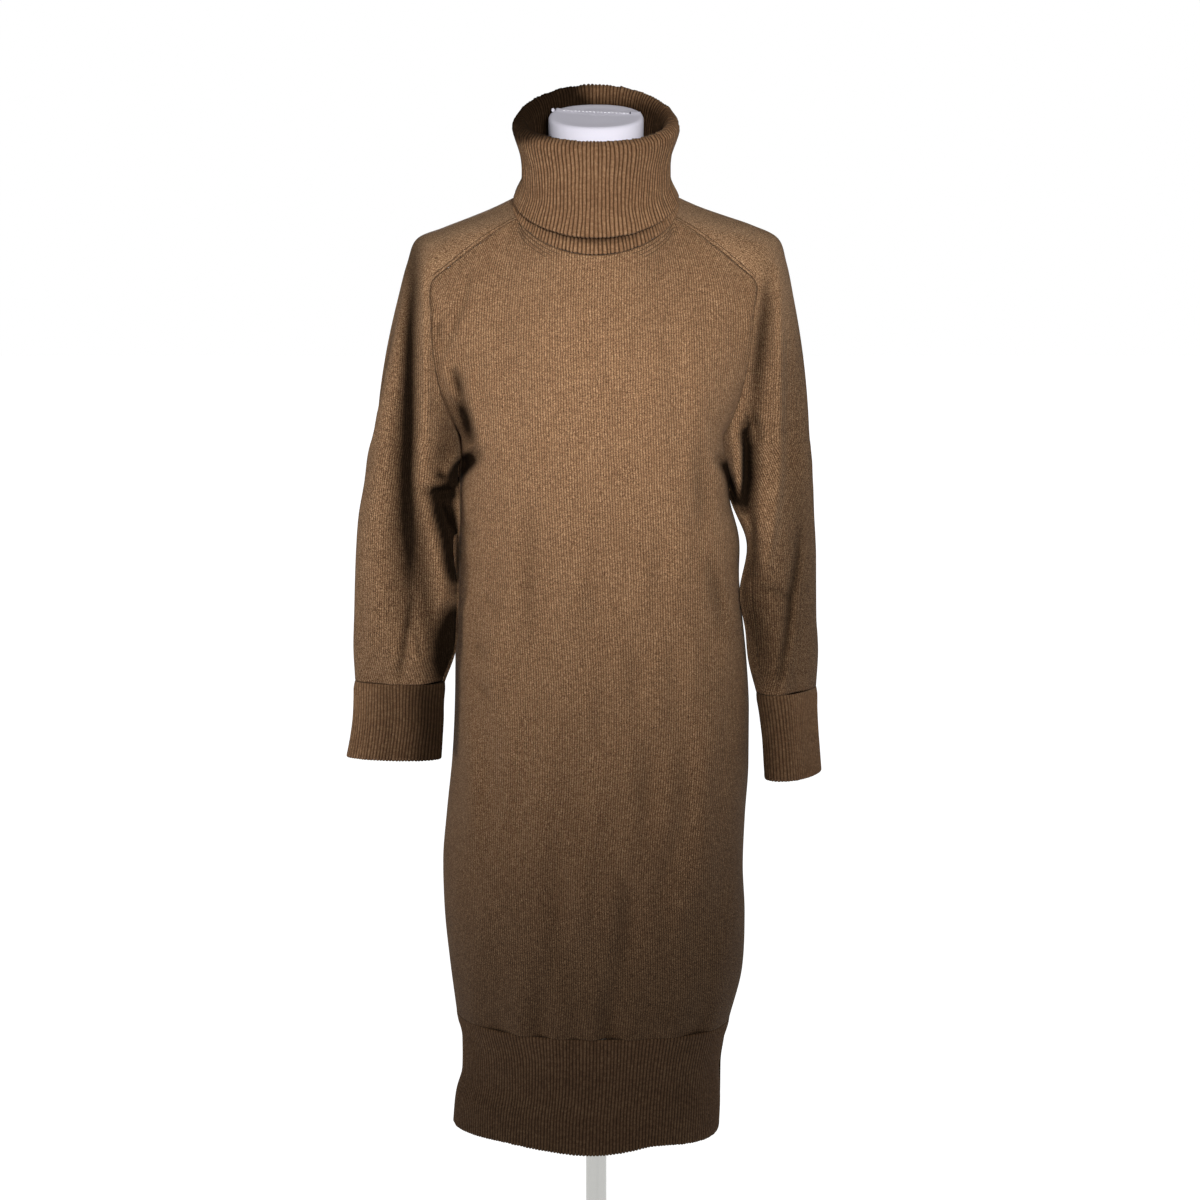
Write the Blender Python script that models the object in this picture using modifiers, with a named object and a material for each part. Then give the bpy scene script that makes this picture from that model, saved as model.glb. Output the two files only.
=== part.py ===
# Long-sleeved knitted midi dress with a folded roll collar, worn on a limbless dress form.
# Metres, +Z up, the front faces -Y, and the base of the stand rests on z = 0.
# Heights in the tables are over the hem, and widths are from the middle of the dress.

import math

import bmesh
import bpy
from mathutils import Vector

# Driving dimensions
HEM_OVER_FLOOR = 0.330
WALL = 0.0020  # thickness of the knitted cloth
SEAM_GAP = 0.0003  # between the pieces at a seam
RIB_RAISE = 0.0008  # how far a rib stands out of its wall
HEM_RIB_HEIGHT = 0.140
HEM_RIBS_PER_COLUMN = 6  # ribs across one column of the skirt
COLLAR_RIBS = 126
CUFF_RIBS_PER_COLUMN = 4

# How finely the cloth is divided
SADDLE_COLUMNS = 5  # along one saddle seam, shoulder corner to neckline
NECK_COLUMNS = 10  # along the neckline of one panel
PANEL_COLUMNS = 2 * SADDLE_COLUMNS + NECK_COLUMNS
ARMHOLE_ROWS = 6
SKIRT_ROWS = 12
SLEEVE_COLUMNS = 18
SLEEVE_ROWS = 8
DENSE = 24  # points in a quarter of a section before it is divided evenly

YOKE_ROUNDNESS = 2.35  # exponent of a section: 2 is an ellipse, more is squarer, less is pointed
SLEEVE_ROUNDNESS = 2.15

# Sections of the skirt and bodice below the armholes
# height, half width on the left, on the right, y of the side seam, y of the front, of the back, roundness
BODY_SECTIONS = (
    (0.000, 0.172, 0.147, 0.000, -0.125, 0.122, 1.75),
    (0.040, 0.168, 0.149, 0.000, -0.124, 0.121, 1.80),
    (0.070, 0.160, 0.149, 0.000, -0.124, 0.120, 1.85),
    (0.100, 0.159, 0.153, 0.000, -0.125, 0.120, 1.90),
    (0.140, 0.168, 0.160, 0.000, -0.126, 0.122, 2.00),
    (0.190, 0.174, 0.173, 0.000, -0.129, 0.125, 2.10),
    (0.250, 0.180, 0.177, 0.000, -0.131, 0.127, 2.20),
    (0.310, 0.183, 0.174, 0.000, -0.132, 0.128, 2.25),
    (0.370, 0.179, 0.175, 0.000, -0.133, 0.128, 2.30),
    (0.470, 0.169, 0.180, 0.000, -0.134, 0.126, 2.35),
    (0.560, 0.166, 0.177, 0.000, -0.135, 0.123, 2.35),
    (0.640, 0.165, 0.169, 0.000, -0.136, 0.118, 2.35),
    (0.700, 0.163, 0.163, 0.000, -0.137, 0.114, 2.35),
    (0.760, 0.160, 0.154, -0.008, -0.138, 0.111, 2.35),
    (0.800, 0.157, 0.147, -0.016, -0.138, 0.110, 2.35),
    (0.828, 0.155, 0.143, -0.020, -0.138, 0.110, 2.35),
)
ARMPIT_HEIGHT = BODY_SECTIONS[-1][0]
TUCK = 0.006  # how far body and sleeve part from each other just under the armpit
TUCK_BELOW = 0.007  # height under the armpit of the row that parts most
TUCK_DROP = 0.060  # height over which they come back to their sections
TUCK_REACH = 0.045  # how far round the section they part

# Armhole seam, armpit to shoulder corner
# share of the seam, height, x on the left, on the right, y in front, y behind
ARMHOLE = (
    (0.00, 0.828, 0.155, 0.143, -0.020, -0.020),
    (0.10, 0.838, 0.160, 0.149, -0.040, 0.004),
    (0.32, 0.872, 0.174, 0.162, -0.058, 0.033),
    (0.60, 0.922, 0.185, 0.173, -0.066, 0.054),
    (0.85, 0.978, 0.188, 0.179, -0.064, 0.059),
    (1.00, 1.013, 0.186, 0.181, -0.060, 0.060),
)
SADDLE_BULGE_FRONT = 0.008  # how far the saddle seam bows out from a straight line
SADDLE_BULGE_BACK = 0.014

# Middle line of the panels above the armholes
# share of the armhole, section centre y, front y, front height, back y, back height
YOKE = (
    (0.00, -0.020, -0.138, 0.828, 0.110, 0.828),
    (0.25, -0.014, -0.136, 0.886, 0.113, 0.897),
    (0.50, -0.005, -0.129, 0.941, 0.112, 0.968),
    (0.75, -0.002, -0.116, 0.993, 0.098, 1.045),
    (1.00, 0.000, -0.099, 1.043, 0.066, 1.127),
)
YOKE_REACH = 2.2  # how late the rows take up the line of the saddle seams and neckline
YOKE_EASING = 12  # how widely the corners of that line are spread over the rows below
EASING_PASSES = 5  # how widely the fulness over the armpits is spread up and down
EASED_BELOW = 3  # rows of the skirt that take it up
EASED_COLUMNS = 5  # columns from a seam to where it is spread fully

# Neckline, a leaning oval: half width, y of the front and back, height in front, at the side, behind
NECKLINE = (0.094, -0.099, 0.066, 1.043, 1.106, 1.127)
NECK_CORNER_FRONT = math.radians(71)  # where the saddle meets the front neckline, from centre front
NECK_CORNER_BACK = math.radians(57)  # the same from centre back

# Collar: the knitted tube goes up as a stand, over the rim and down outside as a fold
# half width, y of the front and back, height in front, at the side, behind
COLLAR_RINGS = (
    NECKLINE,
    (0.0865, -0.0935, 0.0650, 1.064, 1.118, 1.139),
    (0.0745, -0.0810, 0.0600, 1.108, 1.150, 1.178),
    (0.0780, -0.0785, 0.0590, 1.152, 1.190, 1.224),
    (0.0865, -0.0850, 0.0640, 1.168, 1.203, 1.240),
    (0.0935, -0.0920, 0.0700, 1.160, 1.195, 1.232),
    (0.0845, -0.0885, 0.0670, 1.125, 1.165, 1.199),
    (0.0830, -0.0940, 0.0680, 1.095, 1.138, 1.168),
    (0.0930, -0.1070, 0.0750, 1.063, 1.113, 1.137),
)
STAND_SHOWS, RIM_TOP = 1, 4  # rings of that table
COLLAR_LEAN = -0.005  # rise of the rim from the left to the right

# Sleeves below the armpit, down to the end of the cuff
# height, x of the middle, y of the middle, half width, half depth, turn in degrees
SLEEVES = {
    "left": (
        (0.460, 0.237, -0.052, 0.0545, 0.022, 8),
        (0.500, 0.232, -0.052, 0.0520, 0.022, 8),
        (0.550, 0.229, -0.052, 0.0525, 0.025, 9),
        (0.575, 0.2240, -0.056, 0.0590, 0.032, 10),
        (0.640, 0.2200, -0.060, 0.0610, 0.033, 12),
        (0.700, 0.2185, -0.059, 0.0600, 0.034, 12),
        (0.750, 0.2155, -0.054, 0.0585, 0.037, 11),
        (0.790, 0.2120, -0.041, 0.0545, 0.041, 7),
        (0.828, 0.209, -0.020, 0.0540, 0.046, 0),
    ),
    "right": (
        (0.438, 0.232, -0.042, 0.0500, 0.024, 60),
        (0.490, 0.228, -0.042, 0.0490, 0.024, 60),
        (0.539, 0.223, -0.042, 0.0510, 0.027, 59),
        (0.565, 0.220, -0.042, 0.0565, 0.031, 57),
        (0.630, 0.216, -0.042, 0.0570, 0.032, 56),
        (0.690, 0.213, -0.040, 0.0565, 0.034, 53),
        (0.750, 0.205, -0.042, 0.0545, 0.037, 42),
        (0.790, 0.200, -0.036, 0.0520, 0.041, 24),
        (0.828, 0.196, -0.020, 0.0525, 0.046, 0),
    ),
}
CUFF_SEAM = 2  # row of those tables where the sleeve is joined to its cuff

# Outer line of the sleeve above the armpit, round the shoulder and up the saddle
# steps of the seam from the armpit, x, y, height, half depth of the section in front, behind
SHOULDERS = {
    "left": (
        (0, 0.262, -0.020, 0.831, 0.046, 0.046),
        (2, 0.252, -0.014, 0.890, 0.054, 0.054),
        (4, 0.239, -0.007, 0.953, 0.063, 0.062),
        (6, 0.218, 0.000, 1.034, 0.064, 0.064),
        (7, 0.208, 0.000, 1.060, 0.063, 0.062),
        (8, 0.178, 0.000, 1.074, 0.060, 0.058),
        (10, 0.120, 0.000, 1.098, 0.050, 0.046),
        (11, 0.096, 0.000, 1.109, 0.045, 0.035),
    ),
    "right": (
        (0, 0.248, -0.020, 0.831, 0.046, 0.046),
        (2, 0.244, -0.014, 0.890, 0.054, 0.054),
        (4, 0.236, -0.007, 0.953, 0.063, 0.062),
        (6, 0.220, 0.000, 1.034, 0.064, 0.064),
        (7, 0.211, 0.000, 1.061, 0.063, 0.062),
        (8, 0.182, 0.000, 1.077, 0.060, 0.058),
        (10, 0.124, 0.000, 1.099, 0.050, 0.046),
        (11, 0.098, 0.000, 1.110, 0.045, 0.035),
    ),
}

# Side slits of the hem rib: how far the free edges stand off the side seams
SLIT_HALF_GAP = 0.0030
SLIT_SPREAD = 0.004  # the front edge is drawn in behind the back one on the right

# Lower edge of the front
# x, how far it is drawn up
HEM_EDGE = (
    (-0.170, 0.000),
    (-0.110, 0.004),
    (-0.060, 0.002),
    (-0.010, 0.000),
    (0.030, 0.003),
    (0.065, 0.009),
    (0.105, 0.006),
    (0.150, 0.000),
)

# Largest folds, each a soft trough (negative) or ridge along a line seen from its side
# piece, azimuth it is seen from, across and height at its top, at its foot, half width, depth
FOLDS = (
    ("sleeve_left", 0, -0.214, 1.000, -0.221, 0.650, 0.016, -0.0080),
    ("sleeve_left", 0, -0.240, 0.960, -0.252, 0.640, 0.014, 0.0040),
    ("sleeve_left", 0, -0.232, 0.640, -0.222, 0.580, 0.010, -0.0040),
    ("sleeve_right", 0, 0.196, 0.990, 0.198, 0.790, 0.014, -0.0070),
    ("sleeve_right", 0, 0.212, 0.960, 0.214, 0.720, 0.012, 0.0030),
    ("sleeve_right", 0, 0.228, 0.650, 0.212, 0.570, 0.010, -0.0040),
    ("sleeve_left", 180, 0.222, 1.000, 0.232, 0.640, 0.016, -0.0070),
    ("sleeve_right", 180, -0.205, 0.980, -0.215, 0.680, 0.014, -0.0060),
    ("front", 0, -0.076, 0.730, -0.074, 0.560, 0.016, -0.0030),
    ("front", 0, -0.140, 0.640, -0.132, 0.180, 0.020, 0.0045),
    ("front", 0, -0.146, 0.960, -0.136, 0.850, 0.016, -0.0060),
    ("front", 0, 0.136, 0.960, 0.118, 0.780, 0.016, -0.0050),
    ("front", 0, 0.118, 0.800, 0.124, 0.640, 0.016, -0.0040),
    ("back", 180, -0.090, 0.700, -0.085, 0.250, 0.022, -0.0050),
    ("back", 180, 0.100, 0.640, 0.092, 0.200, 0.022, -0.0050),
    ("back", 180, -0.140, 0.960, -0.110, 0.820, 0.016, -0.0050),
    ("back", 180, 0.150, 0.960, 0.115, 0.810, 0.016, -0.0050),
)

# Dress form: height, half width, y of the front and back, rise of the section from front to back
TORSO_SECTIONS = (
    (0.440, 0.138, -0.088, 0.092, 0.000),
    (0.452, 0.150, -0.099, 0.104, 0.000),
    (0.520, 0.155, -0.104, 0.110, 0.000),
    (0.600, 0.140, -0.097, 0.094, 0.000),
    (0.670, 0.120, -0.089, 0.077, 0.000),
    (0.750, 0.127, -0.105, 0.086, 0.000),
    (0.830, 0.131, -0.123, 0.096, 0.000),
    (0.900, 0.143, -0.113, 0.095, 0.000),
    (0.960, 0.164, -0.100, 0.088, 0.000),
    (1.000, 0.171, -0.086, 0.073, 0.000),
    (1.030, 0.170, -0.070, 0.058, 0.000),
    (1.050, 0.160, -0.060, 0.050, 0.000),
    (1.066, 0.137, -0.055, 0.047, 0.000),
    (1.082, 0.101, -0.053, 0.046, 0.004),
    (1.096, 0.075, -0.054, 0.046, 0.010),
    (1.115, 0.059, -0.055, 0.047, 0.020),
    (1.150, 0.0535, -0.056, 0.046, 0.030),
    (1.176, 0.0535, -0.056, 0.046, 0.032),
)
TORSO_COLUMNS = 32
TORSO_ROUNDNESS = 2.2
CAP_THICKNESS = 0.010
CAP_OVERHANG = 0.0015
CAP_ROUNDING = 0.0035
POLE_RADIUS = 0.0125
POLE_SIDES = 24
BASE_STEPS = 40
# Turned profiles, underside to top: radius, height
BASE_PROFILE = (
    (0.000, 0.000),
    (0.196, 0.000),
    (0.200, 0.004),
    (0.200, 0.009),
    (0.197, 0.012),
    (0.060, 0.018),
    (0.000, 0.018),
)
SOCKET_STEPS = 24
SOCKET_PROFILE = (
    (0.000, 0.0183),
    (0.032, 0.0183),
    (0.032, 0.024),
    (0.025, 0.046),
    (0.000, 0.046),
)

# Colours and finishes: base colour, roughness, metallic
FINISHES = {
    "camel knit": ((0.155, 0.082, 0.042), 0.92, 0.0),
    "form cover": ((0.780, 0.770, 0.800), 0.85, 0.0),
    "steel pole": ((0.560, 0.560, 0.560), 0.30, 1.0),
    "painted base": ((0.720, 0.720, 0.720), 0.45, 0.0),
}

SIDES = {"left": -1, "right": 1}
FACES = {"front": -1, "back": 1}


def smooth(rows, at):
    """The other columns of a table where its first column is at, on a smooth curve."""
    last = len(rows) - 1
    i = 0
    while i < last - 1 and rows[i + 1][0] < at:
        i += 1
    low, high = rows[i], rows[i + 1]
    before, after = rows[max(i - 1, 0)], rows[min(i + 2, last)]
    span = high[0] - low[0]
    t = min(max((at - low[0]) / span, 0.0), 1.0)
    found = []
    for k in range(1, len(low)):
        slope_in = (high[k] - before[k]) / (high[0] - before[0]) * span
        slope_out = (after[k] - low[k]) / (after[0] - low[0]) * span
        found.append(
            (2 * t**3 - 3 * t**2 + 1) * low[k]
            + (t**3 - 2 * t**2 + t) * slope_in
            + (3 * t**2 - 2 * t**3) * high[k]
            + (t**3 - t**2) * slope_out
        )
    return found


def power(value, exponent):
    return math.copysign(abs(value) ** exponent, value)


def evenly(points, count, closed=False):
    """count steps of equal length along a line of points."""
    if closed:
        points = points + points[:1]
    reached = [0.0]
    for a, b in zip(points, points[1:]):
        reached.append(reached[-1] + (b - a).length)
    found, i = [], 0
    for step in range(count + 1):
        wanted = reached[-1] * step / count
        while i < len(points) - 2 and reached[i + 1] < wanted:
            i += 1
        share = (wanted - reached[i]) / max(reached[i + 1] - reached[i], 1e-9)
        found.append(points[i].lerp(points[i + 1], min(share, 1.0)))
    return found[:-1] if closed else found


def oval(ring, angle):
    """A point of a leaning oval ring, by its angle from centre front towards the right."""
    half, front, back, front_height, side_height, back_height = ring
    x = half * math.sin(angle)
    y = (front + back) / 2 - (back - front) / 2 * math.cos(angle)
    height = (
        side_height * (y - front) * (y - back) / (front * back)
        + front_height * y * (y - back) / (front * (front - back))
        + back_height * y * (y - front) / (back * (back - front))
    )
    return Vector((x, y, height + HEM_OVER_FLOOR))


# ------------------------------------------------------------------ seams


def seam(side, face, step):
    """Step 0 is the armpit, ARMHOLE_ROWS the shoulder corner, and the last one the neckline."""
    share = min(step / ARMHOLE_ROWS, 1.0)
    height, left, right, front, back = smooth(ARMHOLE, share)
    x = SIDES[side] * (left if side == "left" else right)
    y = front if face == "front" else back
    point = Vector((x, y, height + HEM_OVER_FLOOR))
    if step <= ARMHOLE_ROWS:
        return point
    along = (step - ARMHOLE_ROWS) / SADDLE_COLUMNS
    angle = NECK_CORNER_FRONT if face == "front" else math.pi - NECK_CORNER_BACK
    corner = oval(NECKLINE, SIDES[side] * angle)
    bulge = SADDLE_BULGE_FRONT if face == "front" else SADDLE_BULGE_BACK
    bow = 4 * along * (1 - along) * bulge
    return point.lerp(corner, along) + Vector((0, FACES[face] * bow, bow / 2))


def top_edge(face):
    """Upper edge of a panel: saddle seam, neckline, saddle seam."""
    last = ARMHOLE_ROWS + SADDLE_COLUMNS
    steps = range(ARMHOLE_ROWS, last)
    left = [seam("left", face, step) for step in steps]
    right = [seam("right", face, step) for step in reversed(steps)]
    reach = NECK_CORNER_FRONT if face == "front" else NECK_CORNER_BACK
    arc = []
    for i in range(4 * DENSE + 1):
        angle = reach * (i / (2 * DENSE) - 1)
        arc.append(oval(NECKLINE, angle if face == "front" else math.pi - angle))
    return left + evenly(arc, NECK_COLUMNS) + right


# ------------------------------------------------------------------ front and back panels


def panel_row(face, left, right, centre_y, middle_y, middle_height, roundness):
    """One row of a panel: a rounded section that is cut off at the seams on the left and right."""
    depth = abs(middle_y - centre_y)
    dense = []
    for end, side in ((left, -1), (right, 1)):
        reach = min(abs(end.y - centre_y) / depth, 0.98)
        start = math.asin(reach ** (roundness / 2))
        half = abs(end.x) / math.cos(start) ** (2 / roundness)
        quarter = []
        for i in range(DENSE + 1):
            angle = start + (math.pi / 2 - start) * i / DENSE
            x = half * math.cos(angle) ** (2 / roundness) if i < DENSE else 0.0
            y = depth * math.sin(angle) ** (2 / roundness)
            drop = (abs(x) / abs(end.x)) ** 2
            height = middle_height + (end.z - middle_height) * drop
            quarter.append(Vector((side * x, centre_y + FACES[face] * y, height)))
        dense += quarter if side < 0 else quarter[-2::-1]
    return evenly(dense, PANEL_COLUMNS)


def tuck(row, height, ends, sign):
    """Parts body and sleeve: points near the armpit move inwards on one, outwards on the other."""
    under = (ARMPIT_HEIGHT - TUCK_BELOW - height) / TUCK_DROP
    most = sign * TUCK * min(max(1 - under, 0.0), 1.0) ** 2
    moved = []
    for point in row:
        for end in ends:
            away = min((point - end).length / TUCK_REACH, 1.0)
            near = math.sin(math.pi * away) if height == ARMPIT_HEIGHT else (1 - away) ** 2
            point = point + Vector((math.copysign(near, end.x) * most, 0, 0))
        moved.append(point)
    return moved


def skirt_row(face, height):
    left, right, side_y, front_y, back_y, roundness = smooth(BODY_SECTIONS, height)
    z = height + HEM_OVER_FLOOR
    middle_y = front_y if face == "front" else back_y
    ends = Vector((-left, side_y, z)), Vector((right, side_y, z))
    return tuck(panel_row(face, *ends, side_y, middle_y, z, roundness), height, ends, -1)


def yoke_row(face, step):
    centre_y, front_y, front_z, back_y, back_z = smooth(YOKE, step / ARMHOLE_ROWS)
    middle = (front_y, front_z) if face == "front" else (back_y, back_z)
    ends = seam("left", face, step), seam("right", face, step)
    middle_z = middle[1] + HEM_OVER_FLOOR
    row = panel_row(face, *ends, centre_y, middle[0], middle_z, YOKE_ROUNDNESS)
    return row if step else tuck(row, ARMPIT_HEIGHT, ends, -1)


def eased(shifts, passes):
    """Shifts along a row with their corners spread out, and the two ends as they are."""
    for _ in range(passes):
        inner = [(a + 2 * b + c) / 4 for a, b, c in zip(shifts, shifts[1:], shifts[2:])]
        shifts = [shifts[0]] + inner + [shifts[-1]]
    return shifts


def eased_rows(grid):
    """Inner points drawn to those over and under them, and in the yoke to those beside them."""
    last = len(grid[0]) - 1
    for _ in range(EASING_PASSES):
        for r in range(SKIRT_ROWS - EASED_BELOW, len(grid) - 1):
            sideways = max(r - SKIRT_ROWS, 0) / ARMHOLE_ROWS
            row = list(grid[r])
            for c in range(1, last):
                share = min(c, last - c, EASED_COLUMNS) / EASED_COLUMNS / 2
                upright = (grid[r - 1][c] + grid[r + 1][c]) / 2
                level = (grid[r][c - 1] + grid[r][c + 1]) / 2
                row[c] = row[c].lerp(upright, share).lerp(level, sideways / 2)
            grid[r] = row
    return grid


def panel_grid(face):
    top = ARMPIT_HEIGHT - TUCK_BELOW
    grid = []
    for i in range(SKIRT_ROWS):
        height = HEM_RIB_HEIGHT + (top - HEM_RIB_HEIGHT) * i / (SKIRT_ROWS - 1)
        grid.append(skirt_row(face, height))
    last = yoke_row(face, ARMHOLE_ROWS)
    shifts = [edge - point for point, edge in zip(last, top_edge(face))]
    for step in range(ARMHOLE_ROWS + 1):
        share = step / ARMHOLE_ROWS
        spread = eased(shifts, round(YOKE_EASING * (1 - share)))
        row = yoke_row(face, step)
        grid.append([point + shift * share**YOKE_REACH for point, shift in zip(row, spread)])
    return eased_rows(grid)


# ------------------------------------------------------------------ sleeves


def sleeve_ring(side, height, count=SLEEVE_COLUMNS):
    """Closed section, from the underarm round the front, the outside and the back."""
    sign = SIDES[side]
    x, y, half, depth, turn = smooth(SLEEVES[side], height)
    turn = math.radians(turn)
    inwards = Vector((-sign * math.cos(turn), -math.sin(turn), 0))
    forwards = Vector((sign * math.sin(turn), -math.cos(turn), 0))
    centre = Vector((sign * x, y, height + HEM_OVER_FLOOR))
    dense = []
    for i in range(4 * DENSE):
        angle = math.tau * i / (4 * DENSE)
        across = half * power(math.cos(angle), 2 / SLEEVE_ROUNDNESS)
        ahead = depth * power(math.sin(angle), 2 / SLEEVE_ROUNDNESS)
        dense.append(centre + inwards * across + forwards * ahead)
    ring = evenly(dense, count, closed=True)
    return ring + ring[:1]


def sleeve_arc(side, step):
    """Open section above the armpit, from the front seam over the outer line to the back seam."""
    sign = SIDES[side]
    x, y, height, *depths = smooth(SHOULDERS[side], step)
    outer = Vector((sign * x, y, height + HEM_OVER_FLOOR))
    dense = []
    for face, depth in zip(FACES, depths):
        end = seam(side, face, step)
        depth = max(depth, abs(end.y - y) * 1.02)
        start = math.asin(abs(end.y - y) / depth)
        half = (end.x - outer.x) / (1 + math.cos(start))
        half_arc = []
        for i in range(2 * DENSE + 1):
            share = i / (2 * DENSE)
            angle = math.pi - (math.pi - start) * share
            point = outer + Vector((half * (1 + math.cos(angle)), 0, 0))
            point.y = y + FACES[face] * depth * math.sin(angle)
            point.z += (end.z - outer.z) * (1 - math.cos(share * math.pi / 2))
            half_arc.append(point)
        half_arc[-1] = end
        dense += half_arc[::-1] if face == "front" else half_arc[1:]
    return evenly(dense, SLEEVE_COLUMNS)


def neck_side(side):
    """Where the saddle meets the collar, front corner to back corner."""
    first, last = NECK_CORNER_FRONT, math.pi - NECK_CORNER_BACK
    angles = [first + (last - first) * i / (4 * DENSE) for i in range(4 * DENSE + 1)]
    return evenly([oval(NECKLINE, SIDES[side] * angle) for angle in angles], SLEEVE_COLUMNS)


def sleeve_grid(side):
    low, high = SLEEVES[side][CUFF_SEAM][0], ARMPIT_HEIGHT - TUCK_BELOW
    grid = []
    for i in range(SLEEVE_ROWS):
        height = low + (high - low) * i / (SLEEVE_ROWS - 1)
        ring = sleeve_ring(side, height)
        grid.append(tuck(ring, height, ring[:1], 1))
    steps = ARMHOLE_ROWS + SADDLE_COLUMNS
    last, edge = sleeve_arc(side, steps), neck_side(side)
    for step in range(steps + 1):
        taken = max(step - ARMHOLE_ROWS, 0) / SADDLE_COLUMNS
        arc = sleeve_arc(side, step)
        if step == 0:
            arc = tuck(arc, ARMPIT_HEIGHT, arc[:1], 1)
        grid.append([p + (e - q) * taken**2 for p, q, e in zip(arc, last, edge)])
    return grid


# ------------------------------------------------------------------ sheets of quads


def sheet_of(grid, closed_rows=0, flip=False):
    """Points and quads of a grid; the first closed_rows rows end where they begin."""
    points, index = [], []
    for r, row in enumerate(grid):
        used = row[:-1] if r < closed_rows else row
        numbers = list(range(len(points), len(points) + len(used)))
        points += used
        index.append(numbers + numbers[:1] if r < closed_rows else numbers)
    quads = []
    for low, high in zip(index, index[1:]):
        for c in range(len(low) - 1):
            quad = (low[c], low[c + 1], high[c + 1], high[c])
            quads.append(quad[::-1] if flip else quad)
    return points, quads


def place_key(point):
    return tuple(round(value, 6) for value in point)


def shared_normals(sheets):
    """Normals by place, so that pieces that meet at a seam turn their walls the same way."""
    sums = {}
    for points, quads in sheets.values():
        for quad in quads:
            a, b, c, d = (points[i] for i in quad)
            normal = (c - a).cross(d - b)
            for i in quad:
                key = place_key(points[i])
                sums[key] = sums.get(key, Vector()) + normal
    return {key: normal.normalized() for key, normal in sums.items()}


def fold_depth(name, point, normal):
    """How far the folds of a piece move one of its points along its normal."""
    moved = 0.0
    for piece, azimuth, top_x, top, foot_x, foot, half, depth in FOLDS:
        if piece != name:
            continue
        turn = math.radians(azimuth)
        across = point.x * math.cos(turn) + point.y * math.sin(turn)
        facing = normal.x * math.sin(turn) - normal.y * math.cos(turn)
        height = point.z - HEM_OVER_FLOOR
        along = (top - height) / (top - foot)
        if facing <= 0 or not 0 < along < 1:
            continue
        off = (across - top_x - (foot_x - top_x) * along) / half
        moved += depth * math.exp(-(off**2)) * math.sin(math.pi * along) ** 0.6 * math.sqrt(facing)
    return moved


def edges_of(quads):
    """Directed edges with a face on one side only."""
    found = set()
    for quad in quads:
        for i, start in enumerate(quad):
            edge = (start, quad[(i + 1) % 4])
            if edge[::-1] in found:
                found.remove(edge[::-1])
            else:
                found.add(edge)
    return found


def wall_of(points, quads, normals):
    """A closed wall round a sheet, with its edges drawn in by half the gap of a seam."""
    border = edges_of(quads)
    inner_face, touched = {}, {}
    for quad in quads:
        middle = sum((points[i] for i in quad), Vector()) / 4
        for i in quad:
            touched.setdefault(i, []).append(middle)
    for start, end in border:
        for i in (start, end):
            inner_face.setdefault(i, []).append((points[end] - points[start]).normalized())
    moved = list(points)
    for i, directions in inner_face.items():
        tangent = sum(directions, Vector())
        towards = sum(touched[i], Vector()) / len(touched[i]) - points[i]
        if tangent.length > 0.5:
            tangent.normalize()
            towards -= tangent * towards.dot(tangent)
        moved[i] = points[i] + towards.normalized() * SEAM_GAP / 2
    count = len(points)
    outer = [p + n * WALL / 2 for p, n in zip(moved, normals)]
    inner = [p - n * WALL / 2 for p, n in zip(moved, normals)]
    faces = list(quads) + [tuple(i + count for i in reversed(quad)) for quad in quads]
    faces += [(end, start, start + count, end + count) for start, end in border]
    return outer + inner, faces


# ------------------------------------------------------------------ walls from rings


def band(low, high, closed):
    """Faces between two rings of point numbers, of which one may be some times finer."""
    if len(low) > len(high):
        return [face[::-1] for face in band(high, low, closed)]
    steps = len(low) if closed else len(low) - 1
    finer = (len(high) if closed else len(high) - 1) // steps
    faces = []
    for s in range(steps):
        a, b = low[s], low[(s + 1) % len(low)]
        fine = [high[(s * finer + k) % len(high)] for k in range(finer + 1)]
        if finer == 1:
            faces.append((a, b, fine[1], fine[0]))
            continue
        half = finer // 2
        faces += [(a, fine[k + 1], fine[k]) for k in range(half)]
        faces.append((a, b, fine[half]))
        faces += [(b, fine[k + 1], fine[k]) for k in range(half, finer)]
    return faces


def loft_of(rings, closed):
    """A solid from rings that go once round its wall, with ends where the rings are open."""
    points, index = [], []
    for ring in rings:
        index.append(list(range(len(points), len(points) + len(ring))))
        points += ring
    faces = []
    for low, high in zip(index, index[1:] + index[:1]):
        faces += band(low, high, closed)
    if not closed:
        faces.append(tuple(numbers[0] for numbers in reversed(index)))
        faces.append(tuple(numbers[-1] for numbers in index))
    return points, faces


def ring_normals(rings, closed):
    """Normals of a grid of rings, outwards where the rings run from left to right in front."""
    found = []
    for r, ring in enumerate(rings):
        above, below = rings[min(r + 1, len(rings) - 1)], rings[max(r - 1, 0)]
        row = []
        for c in range(len(ring)):
            if closed:
                before, after = ring[c - 1], ring[(c + 1) % len(ring)]
            else:
                before, after = ring[max(c - 1, 0)], ring[min(c + 1, len(ring) - 1)]
            row.append((after - before).cross(above[c] - below[c]).normalized())
        found.append(row)
    return found


def ribbed(ring, normals):
    """The outer points of a ring, every second one raised into a rib."""
    moved = []
    for i, (point, normal) in enumerate(zip(ring, normals)):
        lift = RIB_RAISE if i % 2 else 0.0
        moved.append(point + normal * (WALL / 2 + lift))
    return moved


def inside_of(ring, normals, coarser):
    return [p - n * WALL / 2 for p, n in list(zip(ring, normals))[::coarser]]


def ribbed_tube(rings, closed, coarser):
    """A wall of rings from its lower edge to its upper one: ribs outside, plain inside."""
    normals = ring_normals(rings, closed)
    outer = [ribbed(ring, n) for ring, n in zip(rings, normals)]
    inner = [inside_of(ring, n, coarser) for ring, n in zip(rings, normals)]
    return loft_of(outer + inner[::-1], closed)


# ------------------------------------------------------------------ hem, cuffs, collar


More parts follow.
